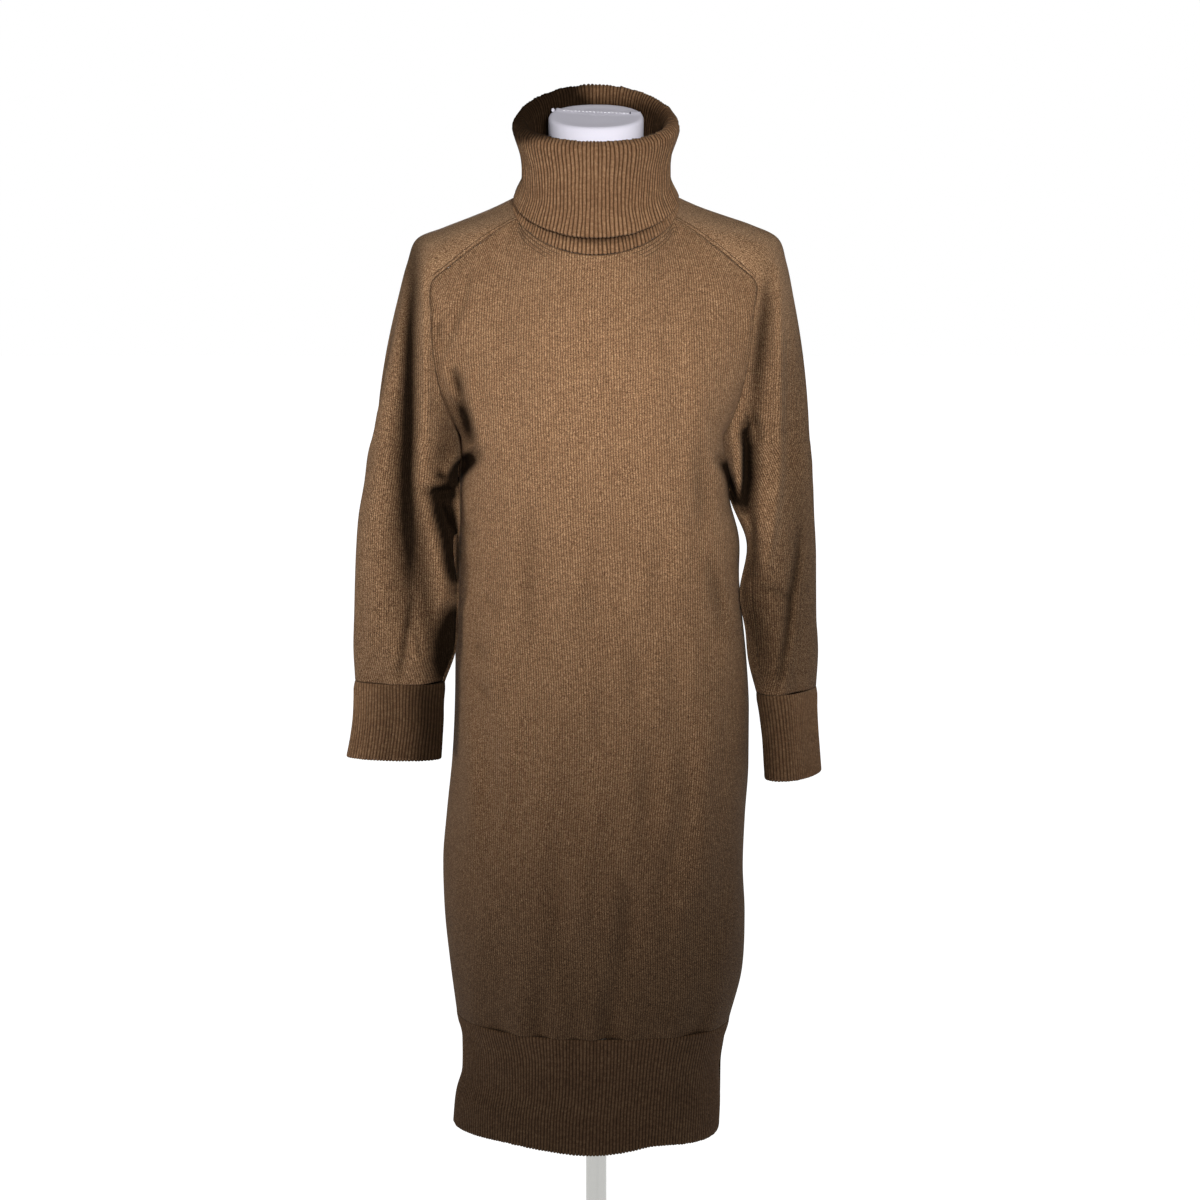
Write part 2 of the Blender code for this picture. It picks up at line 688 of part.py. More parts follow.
def hem_rib(face):
    """Lower band of one panel, free along its two side slits."""
    columns = PANEL_COLUMNS * 2 * HEM_RIBS_PER_COLUMN
    rings = []
    for height in (0.0, HEM_RIB_HEIGHT / 2, HEM_RIB_HEIGHT - SEAM_GAP):
        left, right, side_y, front_y, back_y, roundness = smooth(BODY_SECTIONS, height)
        if face == "front":
            right -= SLIT_SPREAD * math.sin(math.pi * height / HEM_RIB_HEIGHT)
        edge_y = side_y + FACES[face] * SLIT_HALF_GAP
        z = height + HEM_OVER_FLOOR
        ends = Vector((-left, edge_y, z)), Vector((right, edge_y, z))
        middle_y = front_y if face == "front" else back_y
        row = panel_row(face, *ends, side_y, middle_y, z, roundness)
        if face == "front" and height == 0:
            row = [point + Vector((0, 0, *smooth(HEM_EDGE, point.x))) for point in row]
        rings.append(evenly(row if face == "front" else row[::-1], columns))
    return ribbed_tube(rings, False, columns // PANEL_COLUMNS)


def cuff(side):
    heights = [row[0] for row in SLEEVES[side][: CUFF_SEAM + 1]]
    heights[-1] -= SEAM_GAP
    columns = SLEEVE_COLUMNS * 2 * CUFF_RIBS_PER_COLUMN
    rings = [sleeve_ring(side, height, columns)[:-1] for height in heights]
    if side == "right":
        rings = [ring[::-1] for ring in rings]
    return ribbed_tube(rings, True, columns // SLEEVE_COLUMNS)


def collar_ring(number, columns):
    ring = COLLAR_RINGS[number]
    dense = [oval(ring, math.tau * i / columns) for i in range(columns)]
    lean = COLLAR_LEAN * (ring[4] - NECKLINE[4]) / (COLLAR_RINGS[RIM_TOP][4] - NECKLINE[4])
    return [p + Vector((0, 0, p.x * lean)) for p in evenly(dense, columns, closed=True)]


def collar():
    """The tube is followed up the stand, over the rim and down the fold, and back behind."""
    columns, coarser = COLLAR_RIBS * 2, 6
    last = len(COLLAR_RINGS)
    rings = [collar_ring(number, columns) for number in range(last)]
    rings[0] = [p + Vector((0, 0, SEAM_GAP + WALL / 2)) for p in rings[0]]
    away = ring_normals(rings, True)
    towards = [[-n for n in row] for row in away]
    seen = [inside_of(rings[i], away[i], coarser) for i in range(RIM_TOP)]
    seen += [ribbed(rings[i], towards[i]) for i in range(RIM_TOP, last)]
    hidden = [ribbed(rings[i], away[i]) for i in range(STAND_SHOWS + 1)]
    hidden += [inside_of(rings[i], towards[i], coarser) for i in range(STAND_SHOWS + 1, last)]
    return loft_of(seen + hidden[::-1], True)


# ------------------------------------------------------------------ form and stand


def torso_ring(height, half, front, back, rise, grow=0.0):
    ring = []
    for i in range(TORSO_COLUMNS):
        angle = math.tau * i / TORSO_COLUMNS
        x = (half + grow) * power(math.sin(angle), 2 / TORSO_ROUNDNESS)
        along = power(math.cos(angle), 2 / TORSO_ROUNDNESS)
        y = (front + back) / 2 - ((back - front) / 2 + grow) * along
        lean = rise * (y - front) / (back - front)
        ring.append(Vector((x, y, height + lean + HEM_OVER_FLOOR)))
    return ring


def plug_of(rings):
    """A solid from rings stacked upwards, with flat ends."""
    points, index = [], []
    for ring in rings:
        index.append(list(range(len(points), len(points) + len(ring))))
        points += ring
    faces = [tuple(reversed(index[0])), tuple(index[-1])]
    for low, high in zip(index, index[1:]):
        faces += band(low, high, True)
    return points, faces


def neck_cap():
    height, half, front, back, rise = TORSO_SECTIONS[-1]
    height += SEAM_GAP
    rings = []
    for lift, grow in (
        (0.0, 0.0),
        (0.0, CAP_OVERHANG),
        (CAP_THICKNESS - CAP_ROUNDING, CAP_OVERHANG),
        (CAP_THICKNESS, CAP_OVERHANG - CAP_ROUNDING),
    ):
        rings.append(torso_ring(height + lift, half, front, back, rise, grow))
    return plug_of(rings[1:])


def finish(name):
    material = bpy.data.materials.get(name) or bpy.data.materials.new(name)
    colour, roughness, metallic = FINISHES[name]
    material.use_nodes = True
    shader = material.node_tree.nodes["Principled BSDF"]
    shader.inputs["Base Color"].default_value = (*colour, 1.0)
    shader.inputs["Roughness"].default_value = roughness
    shader.inputs["Metallic"].default_value = metallic
    material.diffuse_color = (*colour, 1.0)
    return material


def add_piece(name, shape, finish_name, parent, collection):
    points, faces = shape
    mesh = bpy.data.meshes.new(name)
    mesh.from_pydata(points, [], faces)
    work = bmesh.new()
    work.from_mesh(mesh)
    bmesh.ops.triangulate(work, faces=work.faces)
    bmesh.ops.recalc_face_normals(work, faces=work.faces)
    work.to_mesh(mesh)
    work.free()
    mesh.shade_smooth()
    mesh.set_sharp_from_angle(angle=math.radians(50))
    return add_object(name, mesh, finish_name, parent, collection)


def add_object(name, mesh, finish_name, parent, collection):
    mesh.materials.clear()
    mesh.materials.append(finish(finish_name))
    piece = bpy.data.objects.new(name, mesh)
    piece.parent = parent
    collection.objects.link(piece)
    return piece


def add_pole(parent, collection):
    low, high = SOCKET_PROFILE[-1][1] + SEAM_GAP, TORSO_SECTIONS[0][0] + HEM_OVER_FLOOR - SEAM_GAP
    mesh = bpy.data.meshes.new("stand_pole")
    work = bmesh.new()
    bmesh.ops.create_cone(
        work,
        cap_ends=True,
        segments=POLE_SIDES,
        radius1=POLE_RADIUS,
        radius2=POLE_RADIUS,
        depth=high - low,
    )
    work.to_mesh(mesh)
    work.free()
    mesh.shade_smooth()
    mesh.set_sharp_from_angle(angle=math.radians(50))
    pole = add_object("stand_pole", mesh, "steel pole", parent, collection)
    pole.location.z = (low + high) / 2


def add_turned(name, profile, steps, parent, collection):
    mesh = bpy.data.meshes.new(name)
    points = [(radius, 0, height) for radius, height in reversed(profile)]
    mesh.from_pydata(points, [(i, i + 1) for i in range(len(points) - 1)], [])
    piece = add_object(name, mesh, "painted base", parent, collection)
    turned = piece.modifiers.new("turned", "SCREW")
    turned.steps = turned.render_steps = steps
    turned.use_merge_vertices = True
    turned.merge_threshold = 0.00001
    turned.use_smooth_shade = False


def build():
    for thing in list(bpy.data.objects):
        bpy.data.objects.remove(thing, do_unlink=True)
    collection = bpy.data.collections.new("sweater dress on a dress form")
    bpy.context.scene.collection.children.link(collection)
    root = bpy.data.objects.new("dress_on_form", None)
    collection.objects.link(root)

    closed = SLEEVE_ROWS + 1
    sheets = {
        "front": sheet_of(panel_grid("front")),
        "back": sheet_of(panel_grid("back"), flip=True),
        "sleeve_left": sheet_of(sleeve_grid("left"), closed, flip=True),
        "sleeve_right": sheet_of(sleeve_grid("right"), closed),
    }
    normals = shared_normals(sheets)
    for name, (points, quads) in sheets.items():
        turned = [normals[place_key(point)] for point in points]
        shaped = [p + n * fold_depth(name, p, n) for p, n in zip(points, turned)]
        add_piece(name, wall_of(shaped, quads, turned), "camel knit", root, collection)
    for face in FACES:
        add_piece("hem_rib_" + face, hem_rib(face), "camel knit", root, collection)
    for side in SIDES:
        add_piece("cuff_" + side, cuff(side), "camel knit", root, collection)
    add_piece("collar", collar(), "camel knit", root, collection)

    torso = plug_of([torso_ring(*row) for row in TORSO_SECTIONS])
    add_piece("form_torso", torso, "form cover", root, collection)
    add_piece("form_neck_cap", neck_cap(), "form cover", root, collection)
    add_pole(root, collection)
    add_turned("stand_socket", SOCKET_PROFILE, SOCKET_STEPS, root, collection)
    add_turned("stand_base", BASE_PROFILE, BASE_STEPS, root, collection)


build()
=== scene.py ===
import math
from functools import partial

import bmesh
import bpy
import numpy as np
from mathutils import Matrix, Vector


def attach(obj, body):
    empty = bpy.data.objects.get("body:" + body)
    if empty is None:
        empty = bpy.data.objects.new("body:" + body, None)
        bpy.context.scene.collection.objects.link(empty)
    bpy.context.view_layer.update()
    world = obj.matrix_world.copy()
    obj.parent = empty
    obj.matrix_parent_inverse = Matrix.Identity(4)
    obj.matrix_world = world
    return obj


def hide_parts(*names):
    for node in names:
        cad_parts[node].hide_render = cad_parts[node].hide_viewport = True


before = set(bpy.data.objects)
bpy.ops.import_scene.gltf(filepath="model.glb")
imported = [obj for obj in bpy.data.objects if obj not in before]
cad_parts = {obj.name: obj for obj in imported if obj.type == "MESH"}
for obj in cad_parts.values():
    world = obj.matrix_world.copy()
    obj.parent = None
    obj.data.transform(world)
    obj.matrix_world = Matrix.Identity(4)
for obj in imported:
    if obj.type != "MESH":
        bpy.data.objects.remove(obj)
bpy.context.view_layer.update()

# The camera, as solved from the picture of 1200 x 1200
camera = {"x": 0.0046, "y": -3.0, "z": 1.38, "pitchDown": 7.818, "fieldOfView": 26.386, "pixels": 1200}
hemOverFloor = 0.330


def addCamera():
    data = bpy.data.cameras.new("camera")
    data.sensor_width = 36
    data.angle = math.radians(camera["fieldOfView"])
    made = bpy.data.objects.new("camera", data)
    made.location = (camera["x"], camera["y"], camera["z"])
    made.rotation_euler = (math.radians(90 - camera["pitchDown"]), 0, 0)
    bpy.context.scene.collection.objects.link(made)
    bpy.context.scene.camera = made


# Where points fall in the picture, in its pixels, from the left and from the top.
def inPicture(points):
    pitch = math.radians(camera["pitchDown"])
    focal = camera["pixels"] / 2 / math.tan(math.radians(camera["fieldOfView"]) / 2)
    x = points[..., 0] - camera["x"]
    y = points[..., 1] - camera["y"]
    z = points[..., 2] - camera["z"]
    depth = y * math.cos(pitch) - z * math.sin(pitch)
    rise = y * math.sin(pitch) + z * math.cos(pitch)
    half = camera["pixels"] / 2
    return np.stack([half + focal * x / depth, half - focal * rise / depth], -1)


addCamera()
print("camera placed")

# The dress's own shape, the same sizes as its solids

body = {
    "armholeRows": 6,
    "skirtRows": 12,
    "saddleColumns": 5,
    "neckColumns": 10,
    "panelColumns": 20,
    "dense": 24,
    "yokeRoundness": 2.35,
    "frontRightFlatter": 1.42,
    "hemRib": 0.140,
    "belowArmpit": 0.007,
    "saddleBulge": {"front": 0.008, "back": 0.014},
    "yokeReach": 2.2,
    "yokeEasing": 12,
    "easingPasses": 5,
    "easedBelow": 3,
    "easedColumns": 5,
    "neckCorner": {"front": math.radians(71), "back": math.radians(57)},
    # height, half width on the left, on the right, y of the side seam, front, back, roundness
    "sections": (
        (0.0, 0.172, 0.147, 0.0, -0.125, 0.122, 1.75), (0.04, 0.168, 0.149, 0.0, -0.124, 0.121, 1.8),
        (0.07, 0.16, 0.149, 0.0, -0.124, 0.12, 1.85), (0.1, 0.159, 0.153, 0.0, -0.125, 0.12, 1.9),
        (0.14, 0.168, 0.16, 0.0, -0.126, 0.122, 2.0), (0.19, 0.174, 0.173, 0.0, -0.129, 0.125, 2.1),
        (0.25, 0.18, 0.177, 0.0, -0.131, 0.127, 2.2), (0.31, 0.183, 0.174, 0.0, -0.132, 0.128, 2.25),
        (0.37, 0.179, 0.175, 0.0, -0.133, 0.128, 2.3), (0.47, 0.169, 0.18, 0.0, -0.134, 0.126, 2.35),
        (0.56, 0.166, 0.177, 0.0, -0.135, 0.123, 2.35), (0.64, 0.165, 0.169, 0.0, -0.136, 0.118, 2.35),
        (0.7, 0.163, 0.163, 0.0, -0.137, 0.114, 2.35), (0.76, 0.16, 0.154, -0.008, -0.138, 0.111, 2.35),
        (0.8, 0.157, 0.147, -0.016, -0.138, 0.11, 2.35), (0.828, 0.155, 0.143, -0.02, -0.138, 0.11, 2.35),
    ),
    # share of the seam, height, x on the left, on the right, y in front, y behind
    "armhole": (
        (0.0, 0.828, 0.155, 0.143, -0.02, -0.02), (0.1, 0.838, 0.16, 0.149, -0.04, 0.004),
        (0.32, 0.872, 0.174, 0.162, -0.058, 0.033), (0.6, 0.922, 0.185, 0.173, -0.066, 0.054),
        (0.85, 0.978, 0.188, 0.179, -0.064, 0.059), (1.0, 1.013, 0.186, 0.181, -0.06, 0.06),
    ),
    # share of the armhole, section centre y, front y, front height, back y, back height
    "yoke": (
        (0.0, -0.02, -0.138, 0.828, 0.11, 0.828), (0.25, -0.014, -0.136, 0.886, 0.113, 0.897),
        (0.5, -0.005, -0.129, 0.941, 0.112, 0.968), (0.75, -0.002, -0.116, 0.993, 0.098, 1.045),
        (1.0, 0.0, -0.099, 1.043, 0.066, 1.127),
    ),
    # half width, y of the front and back, height in front, at the side, behind
    "neckline": (0.094, -0.099, 0.066, 1.043, 1.106, 1.127),
    # x, how far the front's lower edge is drawn up
    "hemEdge": (
        (-0.170, 0.000), (-0.110, 0.004), (-0.060, 0.002), (-0.010, 0.000),
        (0.030, 0.003), (0.065, 0.009), (0.105, 0.006), (0.150, 0.000),
    ),
    "hemEdgeReach": 0.07,
    "slitHalfGap": 0.0030,
    "slitSpread": 0.004,
}
armpit = body["sections"][-1][0]

collarShape = {
    # rings up the stand, over the rim and down the fold
    # half width, y of the front and back, height in front, at the side, behind
    "rings": (
        (0.094, -0.099, 0.066, 1.043, 1.106, 1.127), (0.0865, -0.0935, 0.065, 1.064, 1.118, 1.139),
        (0.0745, -0.081, 0.06, 1.108, 1.15, 1.178), (0.078, -0.0785, 0.059, 1.152, 1.19, 1.224),
        (0.0865, -0.085, 0.064, 1.168, 1.203, 1.24), (0.0935, -0.092, 0.07, 1.16, 1.195, 1.232),
        (0.0845, -0.0885, 0.067, 1.125, 1.165, 1.199), (0.083, -0.094, 0.068, 1.095, 1.138, 1.168),
        (0.093, -0.107, 0.075, 1.063, 1.113, 1.137),
    ),
    "rimTop": 4,
    "lean": -0.005,
}

sleeveShape = {
    "columns": 18,
    "rows": 8,
    "roundness": 2.15,
    "cuffSeam": 2,
    # height, x of the middle, y of the middle, half width, half depth, turn in degrees
    "left": (
        (0.46, 0.237, -0.052, 0.0545, 0.022, 8), (0.5, 0.232, -0.052, 0.052, 0.022, 8),
        (0.55, 0.229, -0.052, 0.0525, 0.025, 9), (0.575, 0.224, -0.056, 0.059, 0.032, 10),
        (0.64, 0.22, -0.06, 0.061, 0.033, 12), (0.7, 0.2185, -0.059, 0.06, 0.034, 12),
        (0.75, 0.2155, -0.054, 0.0585, 0.037, 11), (0.79, 0.212, -0.041, 0.0545, 0.041, 7),
        (0.828, 0.209, -0.02, 0.054, 0.046, 0),
    ),
    "right": (
        (0.438, 0.232, -0.042, 0.05, 0.024, 60), (0.49, 0.228, -0.042, 0.049, 0.024, 60),
        (0.539, 0.223, -0.042, 0.051, 0.027, 59), (0.565, 0.22, -0.042, 0.0565, 0.031, 57),
        (0.63, 0.216, -0.042, 0.057, 0.032, 56), (0.69, 0.213, -0.04, 0.0565, 0.034, 53),
        (0.75, 0.205, -0.042, 0.0545, 0.037, 42), (0.79, 0.2, -0.036, 0.052, 0.041, 24),
        (0.828, 0.196, -0.02, 0.0525, 0.046, 0),
    ),
    # steps of the seam from the armpit, y, half depth in front, behind, x and height on the left, the right
    "shoulders": (
        (0, -0.020, 0.046, 0.046, 0.262, 0.831, 0.248, 0.831),
        (2, -0.014, 0.054, 0.054, 0.252, 0.890, 0.244, 0.890),
        (4, -0.007, 0.063, 0.062, 0.239, 0.953, 0.236, 0.953),
        (6, 0.000, 0.064, 0.064, 0.218, 1.034, 0.220, 1.034),
        (7, 0.000, 0.063, 0.062, 0.208, 1.060, 0.211, 1.061),
        (8, 0.000, 0.060, 0.058, 0.178, 1.074, 0.182, 1.077),
        (10, 0.000, 0.050, 0.046, 0.120, 1.098, 0.124, 1.099),
        (11, 0.000, 0.045, 0.035, 0.096, 1.109, 0.098, 1.110),
    ),
}
sideSign = {"left": -1, "right": 1}
faceSign = {"front": -1, "back": 1}


# A smooth curve at t of the way from low to high, by its slopes there.
def smoothBetween(t, low, high, slopeLow, slopeHigh):
    return (
        (2 * t**3 - 3 * t**2 + 1) * low
        + (t**3 - 2 * t**2 + t) * slopeLow
        + (3 * t**2 - 2 * t**3) * high
        + (t**3 - t**2) * slopeHigh
    )


# The other columns of a table where its first column is at, on a smooth curve.
def tableAt(rows, at):
    rows = np.array(rows)
    i = np.searchsorted(rows[1:-1, 0], at)
    before, low, high, after = rows[max(i - 1, 0)], rows[i], rows[i + 1], rows[min(i + 2, len(rows) - 1)]
    span = high[0] - low[0]
    slopeLow = (high - before) / (high[0] - before[0]) * span
    slopeHigh = (after - low) / (after[0] - low[0]) * span
    return smoothBetween(np.clip((at - low[0]) / span, 0, 1), low, high, slopeLow, slopeHigh)[1:]


# Distances along one axis of a line or grid of points.
def lengths(points, axis=0):
    steps = np.linalg.norm(np.diff(points, axis=axis), axis=-1)
    return np.insert(np.cumsum(steps, axis), 0, 0, axis)


# count steps of equal length along a line of points.
def evenly(points, count):
    points = np.asarray(points)
    reached = lengths(points)
    wanted = np.linspace(0, reached[-1], count + 1)
    return np.stack([np.interp(wanted, reached, points[:, k]) for k in range(3)], 1)


def power(value, exponent):
    return np.sign(value) * np.abs(value) ** exponent


def unit(vectors):
    return vectors / np.maximum(np.linalg.norm(vectors, axis=-1, keepdims=True), 1e-12)


# 0 up to start, then rising to 1 over the given length.
def fade(value, start, over):
    return np.clip((value - start) / over, 0, 1)


# Points of a leaning oval, by their angle from centre front towards the right.
def ovalAt(ring, angle):
    half, front, back, frontZ, sideZ, backZ = ring
    x = half * np.sin(angle)
    y = (front + back) / 2 - (back - front) / 2 * np.cos(angle)
    z = (
        sideZ * (y - front) * (y - back) / (front * back)
        + frontZ * y * (y - back) / (front * (front - back))
        + backZ * y * (y - front) / (back * (back - front))
    )
    return np.stack([x, y, z + hemOverFloor], -1)


def seamAt(side, face, step):
    share = min(step / body["armholeRows"], 1.0)
    height, left, right, front, back = tableAt(body["armhole"], share)
    x = sideSign[side] * (left if side == "left" else right)
    point = np.array((x, front if face == "front" else back, height + hemOverFloor))
    if step <= body["armholeRows"]:
        return point
    along = (step - body["armholeRows"]) / body["saddleColumns"]
    angle = body["neckCorner"][face] if face == "front" else math.pi - body["neckCorner"][face]
    corner = ovalAt(body["neckline"], sideSign[side] * angle)
    bow = 4 * along * (1 - along) * body["saddleBulge"][face]
    return point + (corner - point) * along + np.array((0, faceSign[face] * bow, bow / 2))


def topEdge(face):
    last = body["armholeRows"] + body["saddleColumns"]
    steps = list(range(body["armholeRows"], last))
    left = [seamAt("left", face, step) for step in steps]
    right = [seamAt("right", face, step) for step in reversed(steps)]
    reach = body["neckCorner"][face]
    angles = np.linspace(-reach, reach, 4 * body["dense"] + 1)
    arc = ovalAt(body["neckline"], angles if face == "front" else math.pi - angles)
    return np.array(left + list(evenly(arc, body["neckColumns"])) + right)


def panelRow(face, left, right, centreY, middleY, middleZ, roundness):
    depth = abs(middleY - centreY)
    dense = []
    for end, side in ((left, -1), (right, 1)):
        rounded = roundness * (body["frontRightFlatter"] if face == "front" and side > 0 else 1)
        reach = min(abs(end[1] - centreY) / depth, 0.98)
        start = math.asin(reach ** (rounded / 2))
        half = abs(end[0]) / math.cos(start) ** (2 / rounded)
        angle = np.linspace(start, math.pi / 2, body["dense"] + 1)
        x = half * np.abs(np.cos(angle)) ** (2 / rounded)
        x[-1] = 0.0
        y = depth * np.sin(angle) ** (2 / rounded)
        z = middleZ + (end[2] - middleZ) * (x / abs(end[0])) ** 2
        quarter = list(np.stack([side * x, centreY + faceSign[face] * y, z], 1))
        dense += quarter if side < 0 else quarter[-2::-1]
    return evenly(dense, body["panelColumns"])


def skirtRow(face, height, gapY=0.0, drawnIn=0.0):
    left, right, sideY, frontY, backY, roundness = tableAt(body["sections"], height)
    z = height + hemOverFloor
    edgeY = sideY + faceSign[face] * gapY
    ends = np.array((-left, edgeY, z)), np.array((right - drawnIn, edgeY, z))
    return panelRow(face, *ends, sideY, frontY if face == "front" else backY, z, roundness)


def yokeRow(face, step):
    centreY, frontY, frontZ, backY, backZ = tableAt(body["yoke"], step / body["armholeRows"])
    y, z = (frontY, frontZ) if face == "front" else (backY, backZ)
    ends = seamAt("left", face, step), seamAt("right", face, step)
    return panelRow(face, *ends, centreY, y, z + hemOverFloor, body["yokeRoundness"])


def easedRows(grid):
    last = grid.shape[1] - 1
    columns = np.arange(1, last)
    share = np.minimum(np.minimum(columns, last - columns), body["easedColumns"])
    share = (share / body["easedColumns"] / 2)[:, None]
    for _ in range(body["easingPasses"]):
        for r in range(body["skirtRows"] - body["easedBelow"], len(grid) - 1):
            sideways = max(r - body["skirtRows"], 0) / body["armholeRows"] / 2
            upright = (grid[r - 1] + grid[r + 1])[1:-1] / 2
            level = (grid[r, :-2] + grid[r, 2:]) / 2
            inner = grid[r, 1:-1] * (1 - share) + upright * share
            grid[r, 1:-1] = inner * (1 - sideways) + level * sideways
    return grid


def panelGrid(face):
    rows = body["skirtRows"]
    heights = np.linspace(body["hemRib"], armpit - body["belowArmpit"], rows)
    grid = [skirtRow(face, height) for height in heights]
    shifts = topEdge(face) - yokeRow(face, body["armholeRows"])
    for step in range(body["armholeRows"] + 1):
        share = step / body["armholeRows"]
        spread = shifts.copy()
        for _ in range(round(body["yokeEasing"] * (1 - share))):
            spread[1:-1] = (spread[:-2] + 2 * spread[1:-1] + spread[2:]) / 4
        grid.append(yokeRow(face, step) + spread * share ** body["yokeReach"])
    return easedRows(np.array(grid))


def sleeveRing(side, height, count):
    sign = sideSign[side]
    x, y, half, depth, turn = tableAt(sleeveShape[side], height)
    turn = math.radians(turn)
    inwards = np.array((-sign * math.cos(turn), -math.sin(turn), 0))
    forwards = np.array((sign * math.sin(turn), -math.cos(turn), 0))
    centre = np.array((sign * x, y, height + hemOverFloor))
    angle = np.linspace(0, math.tau, 4 * body["dense"] + 1)
    across = half * power(np.cos(angle), 2 / sleeveShape["roundness"])
    ahead = depth * power(np.sin(angle), 2 / sleeveShape["roundness"])
    return evenly(centre + across[:, None] * inwards + ahead[:, None] * forwards, count)


def sleeveArc(side, step):
    y, *depths, leftX, leftZ, rightX, rightZ = tableAt(sleeveShape["shoulders"], step)
    x, height = (-leftX, leftZ) if side == "left" else (rightX, rightZ)
    outer = np.array((x, y, height + hemOverFloor))
    dense = []
    for face, depth in zip(faceSign, depths):
        end = seamAt(side, face, step)
        depth = max(depth, abs(end[1] - y) * 1.02)
        start = math.asin(abs(end[1] - y) / depth)
        half = (end[0] - outer[0]) / (1 + math.cos(start))
        share = np.linspace(0, 1, 2 * body["dense"] + 1)
        angle = math.pi - (math.pi - start) * share
        arc = np.stack([
            outer[0] + half * (1 + np.cos(angle)),
            y + faceSign[face] * depth * np.sin(angle),
            outer[2] + (end[2] - outer[2]) * (1 - np.cos(share * math.pi / 2)),
        ], 1)
        arc[-1] = end
        dense += list(arc[::-1]) if face == "front" else list(arc[1:])
    return evenly(dense, sleeveShape["columns"])


def sleeveGrid(side):
    columns, rows = sleeveShape["columns"], sleeveShape["rows"]
    foot, top = sleeveShape[side][sleeveShape["cuffSeam"]][0], armpit - body["belowArmpit"]
    grid = [sleeveRing(side, height, columns) for height in np.linspace(foot, top, rows)]
    steps = body["armholeRows"] + body["saddleColumns"]
    corner = body["neckCorner"]
    angles = np.linspace(corner["front"], math.pi - corner["back"], 4 * body["dense"] + 1)
    edge = evenly(ovalAt(body["neckline"], sideSign[side] * angles), columns)
    last = sleeveArc(side, steps)
    for step in range(steps + 1):
        taken = max(step - body["armholeRows"], 0) / body["saddleColumns"]
        grid.append(sleeveArc(side, step) + (edge - last) * taken**2)
    return np.array(grid)


# Fine grids

# Values along their first axis at the places at, on a smooth curve through them all.
def smoothAlong(values, knots, at, wraps=False, limited=False):
    gaps = np.diff(knots)
    shape = (-1,) + (1,) * (values.ndim - 1)
    steps = np.diff(values, axis=0) / gaps.reshape(shape)
    slopes = np.empty_like(values)
    low, high = gaps[:-1].reshape(shape), gaps[1:].reshape(shape)
    slopes[1:-1] = (steps[:-1] * high + steps[1:] * low) / (low + high)
    slopes[0], slopes[-1] = steps[0], steps[-1]
    if wraps:
        slopes[0] = slopes[-1] = (steps[0] + steps[-1]) / 2
    if limited:
        least = np.minimum(np.abs(steps[:-1]), np.abs(steps[1:])) * 3
        same = (np.sign(steps[:-1]) == np.sign(steps[1:])) * least
        slopes[1:-1] = np.clip(slopes[1:-1], -same, same)
    i = np.clip(np.searchsorted(knots, at, side="right") - 1, 0, len(knots) - 2)
    t = ((at - knots[i]) / gaps[i]).reshape(shape)
    gap = gaps[i].reshape(shape)
    return smoothBetween(t, values[i], values[i + 1], slopes[i] * gap, slopes[i + 1] * gap)


# Places from 0 to total about a step apart, with two close ones at each end for a rolled edge.
def placesAlong(total, step):
    count = max(int(round(total / step)), 4)
    edge = panels["edge"]
    ends = np.array((0, edge * panels["edgeShare"], edge))
    inner = np.linspace(0, total, count + 1)[1:-1]
    clear = edge * panels["edgeClear"]
    inner = inner[(inner > clear) & (inner < total - clear)]
    return np.concatenate([ends, inner, total - ends[::-1]])


# A fine grid through a coarse one.
def refined(grid, step, closedRows=0, across=None):
    rowKnots = lengths(grid).mean(1)
    width = lengths(grid, 1)[:, -1].max()
    columnKnots = np.linspace(0, width, grid.shape[1])
    columnsAt = placesAlong(width, step) if across is None else across * width
    rows = [smoothAlong(row, columnKnots, columnsAt, wraps=i < closedRows) for i, row in enumerate(grid)]
    return smoothAlong(np.array(rows), rowKnots, placesAlong(rowKnots[-1], step), limited=True)


# The seam from the hem rib up the side, round the armhole and along the saddle to the neckline.
def seamLine(side, face):
    grid = panelGrid(face)[:, :: -sideSign[side]]
    coarse = np.concatenate([grid[:, 0], grid[-1, 1 : body["saddleColumns"] + 1]])
    knots = lengths(coarse)
    return smoothAlong(coarse, knots, np.linspace(0, knots[-1], panels["seamPoints"]))


# Moves an edge onto a line, and what lies beside it by less and less.
def ontoLine(grid, taken, line):
    edge = grid[taken][:, 0]
    nearest = line[np.argmin(((edge[:, None] - line[None]) ** 2).sum(2), 1)]
    away = np.linalg.norm(grid[taken] - edge[:, None], axis=-1)
    grid[taken] += (nearest - edge)[:, None] * np.clip(1 - away / panels["spread"], 0, 1)[..., None]


def surfaceNormals(grid, flip):
    return unit(np.cross(np.gradient(grid, axis=1), np.gradient(grid, axis=0))) * (-1 if flip else 1)


# Metres across from the middle column, and metres up, as the knit runs.
def knitCoordinates(grid, level=False):
    flat = grid * (1, 1, 0 if level else 1)
    across = lengths(flat, 1)
    across -= across[:, [across.shape[1] // 2]]
    tangent = unit(np.gradient(flat, axis=1))
    middle = (tangent[1:] + tangent[:-1]) / 2
    rise = np.diff(grid, axis=0)
    rise -= middle * (rise * middle).sum(2, keepdims=True)
    return across, np.insert(np.cumsum(np.linalg.norm(rise, axis=2), 0), 0, 0, 0)


# Folds, each along a line that is given where the picture or another side shows it

